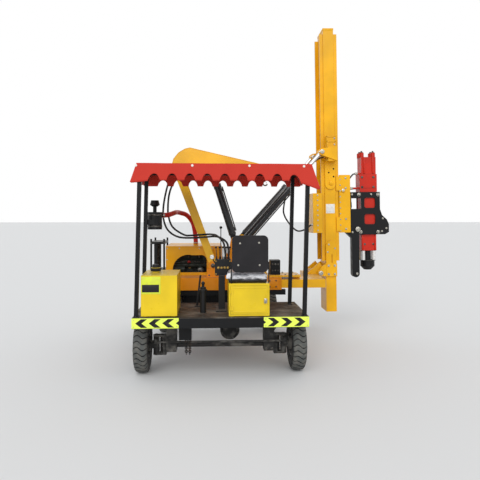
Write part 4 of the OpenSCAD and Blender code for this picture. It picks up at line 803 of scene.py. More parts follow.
# Canopy: red coated cloth pulled over a four-post frame, its hem hanging in scalloped lobes on every
# side and flared at the ends. One sheet is drawn from the roof, and its rim is extruded down.
CANOPY_RED, CANOPY_SKYLIT, CANOPY_DEEP = (196, 50, 34), (226, 104, 100), (188, 40, 30)
CANOPY_W, CANOPY_L = 1.832, 1.000
INSET_W, INSET_L = 0.004, 0.006
CLOTH_CELLS = (190, 104)
CLOTH_THICK = 0.0022
LOBES_X, LOBES_Y = 10, 5
VALANCE, HEM_ROWS = 0.178, 9
SCALLOP, ARCH_HALF = 0.072, 0.29
DROOP_LEFT, DROOP_RIGHT, DROOP_REACH = 0.030, 0.100, 0.26
END_FLARE, FLARE_REACH = math.radians(19), 0.20
SAG = 0.006
canopy_lo, canopy_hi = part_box("canopy")
ROOF_MIDDLE = Vector(((canopy_lo.x + canopy_hi.x) / 2, canopy_lo.y + CANOPY_L / 2, canopy_hi.z - 0.004))

canvas = surface("canopy_cloth", CANOPY_RED, roughness=0.62, Sheen_Weight=0.25)
# Painted light: faces that look up are painted a lighter red, as where the sky lights the roof.
canvas_tone = blend_colours(canvas, facing_up(canvas), CANOPY_RED, CANOPY_SKYLIT)
deeper = clouds(canvas, 3.5, 6, 0.35, 0.75, 0, 0.35)
feed(canvas, Base_Color=blend_colours(canvas, deeper, canvas_tone, CANOPY_DEEP),
     Normal=bump(canvas, texture_of(canvas, "TexChecker", 900, "Fac"), 0.0002, 0.35))

cloth = bmesh.new()
bmesh.ops.create_grid(cloth, x_segments=CLOTH_CELLS[0], y_segments=CLOTH_CELLS[1], size=0.5)
bmesh.ops.scale(cloth, vec=(CANOPY_W - INSET_W, CANOPY_L - INSET_L, 1), verts=cloth.verts)
for vert in cloth.verts:
    u, v = vert.co.x / CANOPY_W * 2, vert.co.y / CANOPY_L * 2
    # The cloth sags between the bars that run across it
    belly = math.sin(math.pi * (v * 1.15 + 1) / 2) ** 2 * (1 - u ** 4)
    vert.co.z -= SAG * belly + 0.0025 * noise.noise(Vector((vert.co.x * 3, vert.co.y * 6, 2)))
hem = [e for e in cloth.edges if e.is_boundary]
roof_point = {v: (v.co.copy(), 0) for v in {v for e in hem for v in e.verts}}
for row in range(1, HEM_ROWS + 1):
    grown = bmesh.ops.extrude_edge_only(cloth, edges=hem)["geom"]
    # Each new vertex hangs from the one above it
    above = {v: next(e.other_vert(v) for e in v.link_edges if e.other_vert(v) in roof_point)
             for v in grown if isinstance(v, bmesh.types.BMVert)}
    roof_point.update({v: (roof_point[upper][0], row) for v, upper in above.items()})
    hem = [g for g in grown if isinstance(g, bmesh.types.BMEdge)]


def hem_place(top, share):
    """Where the hem is below a point of the roof's rim, at a share of its fall."""
    near_x = abs(abs(top.x) - (CANOPY_W - INSET_W) / 2) < 1e-4
    near_y = abs(abs(top.y) - (CANOPY_L - INSET_L) / 2) < 1e-4
    lobes = LOBES_X if near_y else LOBES_Y
    lobe = ((top.x / CANOPY_W if near_y else top.y / CANOPY_L) + 0.5) * lobes
    off = abs(lobe - round(lobe))
    hang = VALANCE
    if 0.5 < lobe < lobes - 0.5 and off < ARCH_HALF:
        hang -= SCALLOP * math.sqrt(1 - (off / ARCH_HALF) ** 2)
    # The two rear corners hang lower, the right one most
    from_end = CANOPY_W / 2 - abs(top.x)
    droop = DROOP_RIGHT if top.x > 0 else DROOP_LEFT
    hang += droop * within(1 - from_end / DROOP_REACH) ** 2 * within(-2 * top.y / CANOPY_L)
    flare = math.sin(END_FLARE) * hang * share
    ripple = math.sin(lobe * math.tau) * 0.006 + noise.noise(Vector((top.x * 7, top.y * 7, 1))) * 0.007
    out = Vector((0, 0, 0))
    if near_x:
        out.x = math.copysign(flare + ripple * share, top.x)
    if near_y:
        out.y = (0.001 if top.y < 0 else -0.001) + ripple * 0.55 * share
        if not near_x:
            # Near a corner the hem is drawn out sideways with the flared end
            out.x = math.copysign(flare * (1 - min(1.0, from_end / FLARE_REACH)) ** 1.6, top.x)
    return top + out - Vector((0, 0, hang * share * (math.cos(END_FLARE) if near_x else 1.0)))


for v, (top, row) in roof_point.items():
    if row:
        v.co = hem_place(top, row / HEM_ROWS)
bmesh.ops.translate(cloth, vec=ROOF_MIDDLE, verts=cloth.verts)
cloth_area = sum(face.calc_area() for face in cloth.faces)
canopy = add_piece("canopy_cloth", cloth, "chassis", "red_canopy", canvas, smooth=60)
solid = canopy.modifiers.new("thickness", "SOLIDIFY")
solid.thickness = CLOTH_THICK
solid.offset = 1.0
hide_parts("canopy")
ivory = surface("ivory_button", (232, 228, 220), roughness=0.4)
grain(ivory, 90, 3, 0.0003, 0.4)
with fittings("canopy_buttons", ivory, slot="red_canopy") as bm:
    for x, z in ((-0.880, 2.262), (-0.300, 2.264), (0.296, 2.264), (0.872, 2.262)):
        stud(bm, x, z, -0.0045, 0.003, 0.013, bevel=0.002)

# Canopy posts: square steel tubes in dark paint, bolted through flat feet to the deck.
FOOT_TOP, FOOT_BOLT = 0.688, 0.033
with fittings("post_bolts", oily_steel) as bm:
    for x, y in ((-0.886, 0.052), (0.886, 0.052), (-0.900, 0.740), (0.840, 0.780)):
        for dy in (-FOOT_BOLT, FOOT_BOLT):
            bolt(bm, (x, y + dy, FOOT_TOP), 0.010, out=UPWARD)

# Engine: dark cast iron with oil stains, and the small bright and coloured fittings that show through
# the cover's arch: port and head bolts, a round plug, brass unions, a red oil cap and injector pipes.
IRON_DARK, IRON_OILY = (44, 50, 46), (26, 25, 24)
PORTS, PORT_X, PORT_PITCH = 4, -0.545, 0.140
PULLEY_X, PULLEY_Y, PULLEY_Z, PULLEY_RING = -0.606, 1.578, 1.032, 0.040
PIPE_Y = 1.632
engine_iron = mottled("engine_iron", IRON_DARK, IRON_OILY, 14, 8, 0.42, 0.7, roughness=0.62, metallic=0.25)
feed(engine_iron, Roughness=clouds(engine_iron, 20, 6, 0.35, 0.65, 0.35, 0.8),
     Normal=bump(engine_iron, noise_of(engine_iron, 220, 5), 0.0008, 0.7, rounded_edges(engine_iron)[0]))
dress(engine_iron, "engine_block", "engine_parts")
brass = mottled("brass_union", (182, 148, 80), (104, 84, 52), 50, 5, 0.4, 0.7, roughness=0.35, metallic=0.85)
cap_red = paint("cap_red", (186, 36, 28), roughness=0.4, dust=0.2, wear=0.1)
with on_engine("engine_fittings", oily_steel, smooth=35) as bm:
    for port in range(PORTS):
        x = PORT_X + PORT_PITCH * port
        rod(bm, (x, 1.600, 1.178), (x, 1.600, 1.236), 0.008, sides=10, bevel=0.001)
        rear_bolts(bm, 1.585, 0.014, ((x - 0.032, 1.082), (x + 0.032, 1.082)))
        bolt(bm, (x, 1.740, 1.238), 0.016, out=UPWARD)
    stud(bm, -0.250, 1.018, 1.5215, 1.5175, 0.034, sides=24, bevel=0.001)
    for turn in range(10):
        angle = math.tau * turn / 10
        y, z = PULLEY_Y + PULLEY_RING * math.cos(angle), PULLEY_Z + PULLEY_RING * math.sin(angle)
        rod(bm, (PULLEY_X, y, z), (PULLEY_X + 0.0015, y, z), 0.006, sides=8)
with on_engine("engine_unions", brass) as bm:
    for x, z in ((-0.470, 1.060), (-0.395, 1.048), (-0.330, 1.066)):
        bolt(bm, (x, 1.6395, z), 0.022, height=0.024)
with on_engine("engine_red_caps", cap_red, smooth=35) as bm:
    stud(bm, -0.405, 1.120, 1.639, 1.622, 0.021, sides=24, bevel=0.003)
    stud(bm, -0.405, 1.120, 1.623, 1.612, 0.010, sides=6, bevel=0.001)
with on_engine("engine_pipes", oily_steel, smooth=60) as bm:
    for row, z in enumerate((1.102, 1.118, 1.134)):
        bend = (-0.560 + 0.05 * row, PIPE_Y, z)
        rod(bm, (-0.600, PIPE_Y, z - 0.03), bend, 0.004, sides=8)
        rod(bm, bend, (-0.260, PIPE_Y, z - 0.004 * row), 0.004, sides=8)

# Engine cover: folded sheet steel in amber yellow. Small screws hold its rear wall along the top and
# the sides, and its folds stand out along the edges.
COVER_YELLOW = (236, 168, 6)
COVER_LEFT, COVER_RIGHT, COVER_TOP = -0.698, 0.040, 1.333
COVER_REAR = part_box("engine_cover")[0].y - REAR_Y
FOLD = 0.008
cover_paint = paint("cover_paint", COVER_YELLOW, "engine_cover",
                    roughness=0.34, dust=0.35, wear=0.5, chip=(92, 66, 36), coat=0.2)
with on_panels("cover_screws", zinc) as bm:
    rear_bolts(bm, COVER_REAR, 0.011, product((-0.682, -0.520, -0.260, -0.090, 0.022), (1.318,)))
    rear_bolts(bm, COVER_REAR, 0.011, product((-0.682, 0.022), (1.020, 1.170)))
with on_panels("cover_folds", cover_paint) as bm:
    box(bm, (COVER_LEFT, COVER_REAR - 0.003, COVER_TOP), (COVER_RIGHT, COVER_REAR + 0.001, 1.3475),
        bevel=0.0014)
    for x in (COVER_LEFT, COVER_RIGHT - FOLD):
        box(bm, (x, COVER_REAR - 0.0025, 0.975), (x + FOLD, COVER_REAR + 0.001, COVER_TOP), bevel=0.001)

# Radiator: a welded stand of square bar with the finned core between its shelves.
FIN_COUNT, FIN_HALF, TUBE_HIGH = 46, 0.0012, 0.004
CORE_START, CORE_LONG = 1.640, 0.500
with fittings("radiator_fins", axle_paint, smooth=None) as bm:
    for fin, x in product(range(FIN_COUNT), (-0.8765, -0.8325)):
        y = CORE_START + CORE_LONG * (fin + 0.5) / FIN_COUNT
        box(bm, (x, y - FIN_HALF, 1.004), (x + 0.005, y + FIN_HALF, 1.362))
    for z in (1.030, 1.110, 1.190, 1.270, 1.340):
        box(bm, (-0.8775, 1.636, z), (-0.8265, 2.144, z + TUBE_HIGH))
with fittings("radiator_bolts", oily_steel) as bm:
    rear_bolts(bm, 1.6145, 0.013, product((-0.913, -0.739), (0.985, 1.380)))

# Air cleaner: a pressed black canister with clamp bands round its body, carried by a bracket on the
# canopy's post.
cleaner_paint = paint("cleaner_paint", (30, 31, 33), "air_cleaner",
                      roughness=0.4, dust=0.45, wear=0.3, chip=(110, 106, 98))
CLEANER_AT, BAND_HALF = (-0.780, 0.860), 0.008
with fittings("cleaner_bands", oily_steel) as bm:
    for z in (1.618, 1.755):
        rod(bm, (*CLEANER_AT, z - BAND_HALF), (*CLEANER_AT, z + BAND_HALF), 0.0885, sides=48, bevel=0.0015)

# Intake hose: red silicone from the air cleaner's outlet to the engine cover, with a clamp at both ends.
INTAKE = ((-0.69575, 0.91517, 1.752), (-0.6851, 0.9221, 1.752), (-0.625, 0.962, 1.757),
          (-0.566, 1.120, 1.782), (-0.550, 1.320, 1.792), (-0.505, 1.415, 1.785), (-0.423, 1.500, 1.752),
          (-0.350, 1.572, 1.650), (-0.320, 1.600, 1.507), (-0.311, 1.600, 1.400), (-0.311, 1.600, 1.3723))
INTAKE_WIDE = 0.060
HOSE_RED, HOSE_DEEP = (186, 34, 26), (150, 30, 26)
HOSE_STEPS = 6


def smooth_path(points, steps=HOSE_STEPS):
    """Points on one smooth curve through the points of a route, steps to each span."""
    points = [Vector(p) for p in points]
    made = []
    for i in range(len(points) - 1):
        a, b, c, d = (points[max(i - 1, 0)], points[i], points[i + 1], points[min(i + 2, len(points) - 1)])
        for k in range(steps):
            t = k / steps
            made.append(b + t * (c - a) / 2 + t * t * (a - 2.5 * b + 2 * c - d / 2)
                        + t ** 3 * (1.5 * b - 1.5 * c + (d - a) / 2))
    return [*made, points[-1]]


def straight_ended(points):
    """A smooth path with a straight first and last span."""
    return [points[0], *smooth_path(points[1:-1]), points[-1]]


def hose_piece(name, route, wide, body, slot, mat, resolution=6):
    """A round hose that follows a route of points, as a closed mesh tube."""
    curve = bpy.data.curves.new(name, "CURVE")
    curve.dimensions = "3D"
    curve.bevel_depth = wide / 2
    curve.bevel_resolution = resolution
    curve.use_fill_caps = True
    spline = curve.splines.new("POLY")
    spline.points.add(len(route) - 1)
    for point, spot in zip(spline.points, route):
        point.co = (*spot, 1)
    drawn = new_object(name + "_line", curve)
    bpy.context.view_layer.update()
    mesh = final_mesh(drawn)
    bpy.data.objects.remove(drawn)
    bm = bmesh.new()
    bm.from_mesh(mesh)
    bpy.data.meshes.remove(mesh)
    bmesh.ops.remove_doubles(bm, verts=bm.verts, dist=1e-6)
    hose = add_piece(name, bm, body, slot, mat, smooth=50)
    return hose


hose_red = mottled("hose_red", HOSE_RED, HOSE_DEEP, 8, 6, 0.4, 0.7, 0.5, roughness=0.42)
grain(hose_red, 160, 4, 0.0005, 0.5)
intake_route = [at(*p) for p in straight_ended(INTAKE)]
intake = hose_piece("intake_hose_skin", intake_route, INTAKE_WIDE, "chassis", "red_hose", hose_red,
                    resolution=8)
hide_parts("intake_hose")
with fittings("intake_clamps", zinc, slot="red_hose") as bm:
    for a, b in ((intake_route[1], intake_route[3]), (intake_route[-2], intake_route[-1])):
        middle, half = (a + b) / 2, (b - a).normalized() * 0.006
        rod(bm, middle - half, middle + half, INTAKE_WIDE / 2 + 0.0016, sides=40)
        box(bm, middle + Vector((-0.010, -INTAKE_WIDE / 2 - 0.009, -0.006)),
            middle + Vector((0.010, -INTAKE_WIDE / 2 + 0.002, 0.006)), bevel=0.002)

# Valve stand: a bank of spool valves in black paint on a folded stand, with steel levers under ball
# knobs, brass bolts, and a pressure gauge on a stem beside it.
LEVERS, LEVER_X, LEVER_PITCH = 5, -0.041, 0.036
LEVER_FOOT, LEVER_TOP, KNOB_Z = (0.542, 1.272), 1.372, 1.382
BANK_REAR = 0.512
GAUGE_X, GAUGE_Z, NEEDLE_Y, GAUGE_MARKS = -0.094, 1.267, 0.5572, 9
stand_paint = paint("stand_paint", (32, 33, 35), "valve_stand", "pedestal", "steering_column",
                    roughness=0.42, dust=0.35, wear=0.45, chip=(120, 116, 108))


def lever_tops():
    """(x of the foot, x of the top, y of the top) of each lever. They fan out and stand at odds."""
    for i in range(LEVERS):
        x = LEVER_X + LEVER_PITCH * i
        yield x, x + 0.004 * (i - 2), 0.516 - 0.006 * (i % 2)


with fittings("valve_levers", oily_steel, smooth=50) as bm:
    for foot_x, top_x, top_y in lever_tops():
        rod(bm, (foot_x, *LEVER_FOOT), (top_x, top_y, LEVER_TOP), 0.0045, sides=12)
with fittings("valve_knobs", dark_trim, smooth=60) as bm:
    for foot_x, top_x, top_y in lever_tops():
        ball(bm, (top_x, top_y, KNOB_Z), 0.0125)
with fittings("valve_bank_bolts", brass) as bm:
    rear_bolts(bm, BANK_REAR, 0.012, product((-0.050, 0.113), (1.078, 1.224)))
    rear_bolts(bm, BANK_REAR, 0.018, product((-0.022, 0.014, 0.050, 0.086), (1.150,)))
gauge_white = surface("gauge_white", (232, 232, 228), roughness=0.25)
grain(gauge_white, 30, 2, 0.0002, 0.2)
with fittings("gauge_dial", gauge_white) as bm:
    stud(bm, GAUGE_X, GAUGE_Z, 0.5600, 0.5575, 0.0215, sides=32, bevel=0.0008)
with fittings("gauge_needle", dark_trim, smooth=None) as bm:
    hub = at(GAUGE_X, NEEDLE_Y, GAUGE_Z)
    rod(bm, hub, (-0.105, NEEDLE_Y, 1.278), 0.0011, end_radius=0.0005, sides=8)
    for mark in range(GAUGE_MARKS):
        angle = math.radians(-45 + 33.75 * mark)
        out = Vector((math.cos(angle), 0, math.sin(angle)))
        rod(bm, hub + out * 0.0165, hub + out * 0.0200, 0.0006, sides=6)
with fittings("gauge_case", zinc) as bm:
    stud(bm, GAUGE_X, GAUGE_Z, 0.5585, 0.5840, 0.0262, sides=36, bevel=0.0015)

# Steering wheel: moulded black plastic over steel spokes.
grip = mottled("wheel_plastic", (28, 28, 30), (46, 44, 42), 12, 5, 0.4, 0.7, roughness=0.45)
grain(grip, 300, 3, 0.0003, 0.5)
dress(grip, "steering_wheel")

# Outer sleeve of the cross slide: a welded box beam in orange paint, with a bolted wear pad near its
# right end and a yellow grease cap on its rear wall.
SLEEVE_ORANGE = (238, 146, 12)
SLEEVE_REAR = 1.120
sleeve_paint = paint("sleeve_paint", SLEEVE_ORANGE, "slide_sleeve",
                     roughness=0.34, dust=0.45, wear=0.6, chip=(88, 64, 38), coat=0.2)
yellow_trim = paint("yellow_trim", (240, 206, 24), roughness=0.35, dust=0.1, wear=0.2)
with on_sleeve("sleeve_bolts", oily_steel) as bm:
    rear_bolts(bm, SLEEVE_REAR, 0.018, product((0.560, 0.640, 0.720), (0.846, 0.922)))
    rear_bolts(bm, 1.2215, 0.014, ((-0.130, 0.985), (-0.030, 0.985)))
with on_sleeve("sleeve_wear_pad", sleeve_paint) as bm:
    box(bm, (0.540, SLEEVE_REAR - 0.007, 0.828), (0.745, SLEEVE_REAR + 0.001, 0.940), bevel=0.002)
with on_sleeve("sleeve_grease_cap", yellow_trim) as bm:
    stud(bm, -0.655, 0.880, 1.1045, 1.0925, 0.023, sides=24, bevel=0.002)

# Slide beam, mast, brackets and carriage: welded plate and box section in amber paint, with weld beads
# along the joints. The guide rails are rubbed bright where the carriage runs.
MAST_YELLOW = (246, 182, 4)
MAST_X, MAST_W = 1.580, 0.146
RAIL_OUT, RAIL_FOOT, RAIL_TOP = 0.050, 1.160, 4.290
mast_paint = paint("mast_paint", MAST_YELLOW, "slide_beam", "mast", "mast_brackets", "carriage",
                   roughness=0.33, dust=0.40, wear=0.6, chip=(90, 66, 36), coat=0.2)
rail_steel = mottled("rail_steel", (168, 164, 158), (96, 80, 58), 30, 6, 0.4, 0.65, stretch=(1, 1, 0.05),
                     roughness=0.32, metallic=0.9)
with on_mast("rail_faces", rail_steel, smooth=None) as bm:
    for y, side in product((1.765, 2.065), (-1, 1)):
        x = MAST_X + side * (MAST_W / 2 + RAIL_OUT)
        box(bm, (x - 0.0006, y + 0.003, RAIL_FOOT), (x + 0.0006, y + 0.017, RAIL_TOP))
with on_mast("mast_welds", mast_paint, smooth=60) as bm:
    for side in (-1, 1):
        x = MAST_X + side * MAST_W / 2 + side * 0.002
        weld(bm, (x, 1.7640, 1.120), (x, 1.7640, 4.296))
    weld(bm, (1.507, 1.7245, 0.902), (1.507, 1.7245, 1.330))
    weld(bm, (1.653, 1.7485, 1.082), (1.653, 1.7485, 1.330))
with on_mast("mast_top_band", mast_paint) as bm:
    for x0, x1, y0, y1 in ((1.5045, 1.6555, 1.7475, 1.756), (1.5045, 1.6555, 2.094, 2.1025),
                           (1.5045, 1.513, 1.756, 2.094), (1.647, 1.6555, 1.756, 2.094)):
        box(bm, (x0, y0, 4.352), (x1, y1, 4.3805), bevel=0.0015)

# Foot bracket, head bracket, pad and hose guard: bolts, pin heads with their keeper plates, dark discs of
# painted shade where the pad's holes are, a boss, the head box's ribs and a blank label.
FOOT_REAR, HEAD_REAR, PAD_REAR = 1.725, 1.6565, 1.7485
HEAD_X, HEAD_Z = 1.433, 2.625
BOSS_X, BOSS_Z = 1.590, 2.206
GUARD_X, GUARD_REAR, GUARD_FOOT, GUARD_PITCH = 1.392, 1.7100, 1.545, 0.070
RIB_LEFT, RIB_RIGHT, RIB_REAR = 1.519, 1.641, 1.6485
with on_mast("bracket_bolts", zinc) as bm:
    rear_bolts(bm, FOOT_REAR, 0.022, product((1.540, 1.628), (0.930, 1.050)))
    rear_bolts(bm, FOOT_REAR, 0.016, ((1.530, 1.240), (1.632, 1.290), (1.545, 1.345)))
    rear_bolts(bm, HEAD_REAR, 0.016, product((1.628,), (2.545, 2.640, 2.735, 2.820)))
with on_mast("mast_pins", zinc) as bm:
    for y in (1.5505, 2.1425):
        stud(bm, HEAD_X, HEAD_Z, y, y - 0.005, 0.030, sides=28, bevel=0.0015)
        box(bm, (HEAD_X - 0.045, y - 0.001, HEAD_Z - 0.009), (HEAD_X - 0.020, y + 0.006, HEAD_Z + 0.009),
            bevel=0.002)
# Painted shade: thin dark discs stand where the pad's holes show a shaded inside.
with on_mast("mast_pad_hole_shade", dark_trim) as bm:
    for x, z in ((1.560, 2.352), (1.628, 2.404), (1.628, 2.296)):
        stud(bm, x, z, PAD_REAR, PAD_REAR - 0.002, 0.0118, sides=24)
with on_mast("mast_pad_boss", mast_paint) as bm:
    stud(bm, BOSS_X, BOSS_Z, 1.7160, 1.7095, 0.022, sides=32, bevel=0.002)
    stud(bm, BOSS_X, BOSS_Z, 1.7100, 1.7065, 0.010, sides=6, bevel=0.001)
with on_mast("guard_bolts", zinc) as bm:
    rear_bolts(bm, GUARD_REAR, 0.014, ((GUARD_X, GUARD_FOOT + GUARD_PITCH * step) for step in range(8)))
with on_mast("head_box_ribs", mast_paint) as bm:
    for z in (2.520, 2.590, 2.680, 2.770, 2.838):
        box(bm, (RIB_LEFT, RIB_REAR, z), (RIB_RIGHT, HEAD_REAR, z + 0.012), bevel=0.0015)
    for x in (RIB_LEFT, RIB_RIGHT - 0.010):
        box(bm, (x, RIB_REAR, 2.502), (x + 0.010, HEAD_REAR, 2.855), bevel=0.0015)
label_white = mottled("label_white", (226, 226, 222), (196, 190, 176), 30, 5, 0.4, 0.7, 0.5, roughness=0.4)
with on_mast("mast_blank_label", label_white) as bm:
    box(bm, (1.5180, 1.7482, 1.782), (1.6420, 1.7505, 1.912), bevel=0.0006)

# Slide beam's own fittings: pin heads, saddle bolts, weld beads on its plates and the valve's caps.
with on_beam("beam_pins", zinc) as bm:
    for y, out in ((1.691, -0.006), (2.159, 0.006)):
        stud(bm, *PIVOT, y, y + out, 0.033, sides=32, bevel=0.0015)
    stud(bm, 0.285, 1.340, 1.5545, 1.5495, 0.026, sides=28, bevel=0.0015)
    for x, y in product((0.440, 0.560, 0.850, 0.990), (1.195, 1.475)):
        bolt(bm, (x, y, 0.9843), 0.018, out=UPWARD)
with on_beam("beam_welds", mast_paint, smooth=60) as bm:
    weld(bm, (1.232, 1.5655, 0.817), (1.232, 1.5655, 0.921))
    weld(bm, (1.240, 1.7240, 0.9235), (1.360, 1.7240, 0.9235))
    weld(bm, (0.436, 1.1695, 0.9855), (0.604, 1.1695, 0.9855))
with fittings("slide_valve_caps", oily_steel, body="cross_slide") as bm:
    for x in (0.690, 0.725, 0.760):
        stud(bm, x, 1.120, 1.2305, 1.2225, 0.012, bevel=0.0015)
        bolt(bm, (x, 1.2300, 1.040), 0.013)

# Hydraulic cylinders: black painted barrels with raised bands and a hard-chromed rod. Barrels carry a
# steel pipe along their rear side, with a union at both ends.
BARREL_CHIP = (132, 128, 120)
PIPE_FROM, PIPE_TO = 0.12, 0.05
barrel_paint = paint("barrel_paint", (24, 26, 30), "tilt_barrel_rear", "tilt_barrel_front", "jib_barrel",
                     roughness=0.28, dust=0.30, wear=0.45, chip=BARREL_CHIP, coat=0.5)
chrome = surface("chrome_rod", (206, 208, 212), roughness=0.10, metallic=1.0)
feed(chrome, Roughness=clouds(chrome, 60, 4, 0.3, 0.7, 0.07, 0.17, stretch=(1, 1, 0.2)))
dress(chrome, "tilt_rod_rear", "tilt_rod_front", "jib_rod")
head_point = mast_turn @ at(HEAD_X, 0, HEAD_Z)


def cylinder_trim(name, foot, eye, barrel_len, radius):
    """Bands and the steel pipe of one cylinder that points from its foot to an eye in the foot's plane."""
    foot = at(*foot)
    along = Vector((eye.x - foot.x, 0, eye.z - foot.z)).normalized()
    across = along.cross(Vector((0, 1, 0))).normalized()
    with fittings(name + "_bands", barrel_paint, body=name) as bm:
        for reach, wide in ((0.085, 0.016), (barrel_len - 0.060, 0.012), (barrel_len * 0.5, 0.010)):
            rod(bm, foot + along * reach, foot + along * (reach + wide), radius + 0.0035, sides=40,
                bevel=0.001)
    off = Vector(REARWARD) * (radius * 0.72) + across * (radius * 0.78)
    ends = [foot + along * reach for reach in (PIPE_FROM, barrel_len - PIPE_TO)]
    with fittings(name + "_pipe", oily_steel, smooth=40, body=name) as bm:
        rod(bm, ends[0] + off * 1.06, ends[1] + off * 1.06, 0.0055, sides=12)
        for end in ends:
            bolt(bm, end + off * 0.86, 0.018, out=off, height=0.012)


cylinder_trim("tilt_barrel_rear", (0.285, 1.620, 1.340), head_point, 1.060, 0.050)
cylinder_trim("tilt_barrel_front", (0.345, 2.212, 1.435), head_point, 1.010, 0.050)
cylinder_trim("jib_barrel", (0.197, 1.300, 1.432), at(-0.092, 0, 2.350), 0.760, 0.046)

# Carriage: bolts on its back plate and side, and its pin boss.
CARRIAGE_REAR, CARRIAGE_SIDE = 1.7445, 1.865
with on_carriage("carriage_bolts", zinc, slot="yellow_paint") as bm:
    rear_bolts(bm, CARRIAGE_REAR, 0.018, product((1.800,), (1.560, 1.700, 2.135, 2.275)))
    for z, y in product((1.600, 1.900, 2.200), (1.800, 2.050)):
        bolt(bm, (CARRIAGE_SIDE, y, z), 0.016, out=RIGHTWARD)
    stud(bm, 1.762, 2.104, 1.7305, 1.7245, 0.021, sides=24, bevel=0.0015)
    rear_bolts(bm, CARRIAGE_REAR, 0.012, ((1.722, 1.535 + 0.080 * step) for step in range(10)))

# Hammer housing: two flame-cut plates in black paint. Its through pins show a thick washer and a
# hexagon end, and large bolts sit near the corners. The leg hangs from its left side.
HOUSING_REAR, NUT_REAR, WELD_REAR = 1.800, 1.7905, 1.8005
housing_paint = paint("housing_paint", (20, 21, 23), "hammer_housing", "drive_cap",
                      roughness=0.40, dust=0.35, wear=0.55, chip=(120, 116, 108))
with on_carriage("housing_bolts", zinc) as bm:
    for x, z in ((2.006, 2.043), (2.281, 2.039), (2.025, 1.512), (2.277, 1.508)):
        stud(bm, x, z, NUT_REAR, NUT_REAR - 0.005, 0.014, sides=6, bevel=0.001)
        stud(bm, x, z, HOUSING_REAR, HOUSING_REAR - 0.0035, 0.025, sides=24, bevel=0.001)
    rear_bolts(bm, HOUSING_REAR, 0.018, ((1.905, 2.045), (2.180, 2.045), (2.345, 1.700), (2.395, 1.560),
                                         (1.905, 1.510), (2.330, 1.520)))
    stud(bm, 1.963, 0.922, NUT_REAR, NUT_REAR - 0.005, 0.018, sides=6, bevel=0.001)
    stud(bm, 1.982, 1.551, 1.7865, 1.7800, 0.036, sides=32, bevel=0.002)
with on_carriage("housing_welds", housing_paint, smooth=60) as bm:
    for x, top in ((1.897, 1.540), (2.002, 1.500)):
        weld(bm, (x, WELD_REAR, 1.474), (x, WELD_REAR, top))

# Hydraulic hammer: red painted blocks held together by long tie rods, with nuts on top, bolts and
# plugs on the rear, dark joint lines, bright rods under it and rings round the drive cap.
HAMMER_RED = (200, 38, 18)
HAMMER_X, HAMMER_REAR, CAP_Y = 2.152, 1.825, 1.925
hammer_paint = paint("hammer_paint", HAMMER_RED, "hammer_body",
                     roughness=0.36, dust=0.45, wear=0.6, chip=(84, 40, 34), coat=0.15)
with on_hammer("hammer_nuts", oily_steel) as bm:
    for x, y in product((2.069, 2.232), (1.870, 1.980)):
        rod(bm, (x, y, 2.641), (x, y, 2.652), 0.022, sides=6, bevel=0.0015)
        rod(bm, (x, y, 2.650), (x, y, 2.668), 0.012, sides=16, bevel=0.0015)
    rear_bolts(bm, HAMMER_REAR, 0.022, product((2.060, 2.225), (2.290, 2.150)))
    for x in (2.090, 2.214):
        stud(bm, x, 1.335, 1.8355, 1.8305, 0.016, sides=24, bevel=0.0015)
        stud(bm, x, 1.335, 1.8310, 1.8280, 0.008, sides=6)
with on_hammer("hammer_joints", dark_trim, smooth=None) as bm:
    for z, half, rear in ((1.474, 0.1055, HAMMER_REAR), (2.134, 0.1055, HAMMER_REAR),
                          (2.334, 0.103, HAMMER_REAR + 0.004)):
        box(bm, (HAMMER_X - half, rear - 0.0015, z - 0.0015), (HAMMER_X + half, rear + 0.002, z + 0.0015))
with on_hammer("hammer_ribs", hammer_paint, smooth=40) as bm:
    for x in (-0.090, 0.090):
        y = HAMMER_REAR + 0.016
        rod(bm, (HAMMER_X + x, y, 1.250), (HAMMER_X + x, y, 1.470), 0.018, sides=24, bevel=0.002)
    for x in (-0.060, 0.066):
        y = HAMMER_REAR + 0.002
        rod(bm, (HAMMER_X + x, y, 2.345), (HAMMER_X + x, y, 2.570), 0.014, bevel=0.002)
bright_rod = surface("bright_rod", (222, 222, 220), roughness=0.3, metallic=0.35)
feed(bright_rod, Roughness=clouds(bright_rod, 40, 4, 0.3, 0.7, 0.22, 0.42))
with on_carriage("cap_rods", bright_rod, slot="chrome_rod", smooth=40) as bm:
    for x, y in product((HAMMER_X - 0.077, HAMMER_X + 0.077), (CAP_Y - 0.058, CAP_Y + 0.058)):
        rod(bm, (x, y, 1.108), (x, y, 1.240), 0.0268, sides=32)
with on_carriage("cap_rings", housing_paint) as bm:
    for z in (1.030, 1.064, 1.092):
        rod(bm, (HAMMER_X, CAP_Y, z), (HAMMER_X, CAP_Y, z + 0.006), 0.1018, sides=48, bevel=0.001)

# Lifting jib: a flame-cut box arm in lighter yellow, with weld beads along its edges, pin heads at its
# foot and cylinder eye, and a forged hook under its tip. An earth chain hangs beside it.
JIB_YELLOW = (246, 192, 44)
JIB_REAR, WELD_INSET = 1.242, 0.004
JIB_EDGE = ((-0.536, 2.190), (-0.600, 2.420), (-0.585, 2.480), (-0.520, 2.560), (-0.440, 2.608),
            (-0.377, 2.623), (0.478, 2.430), (0.628, 2.392))
JIB_LOWER = ((0.628, 2.310), (0.478, 2.318), (-0.060, 2.410), (-0.300, 2.410), (-0.380, 2.380),
             (-0.420, 2.310), (-0.424, 2.210))
JIB_EYE = (-0.092, 2.350)
jib_paint = paint("jib_paint", JIB_YELLOW, "jib",
                  roughness=0.33, dust=0.35, wear=0.5, chip=(96, 72, 40), coat=0.2)
hook_steel = mottled("hook_steel", (124, 120, 112), (84, 62, 46), 26, 6, 0.4, 0.65, roughness=0.42,
                     metallic=0.8)
dress(hook_steel, "hook")
chain_steel = mottled("chain_steel", (38, 38, 38), (72, 60, 50), 40, 6, 0.4, 0.65, roughness=0.6,
                      metallic=0.4)
dress(chain_steel, "earth_chain")
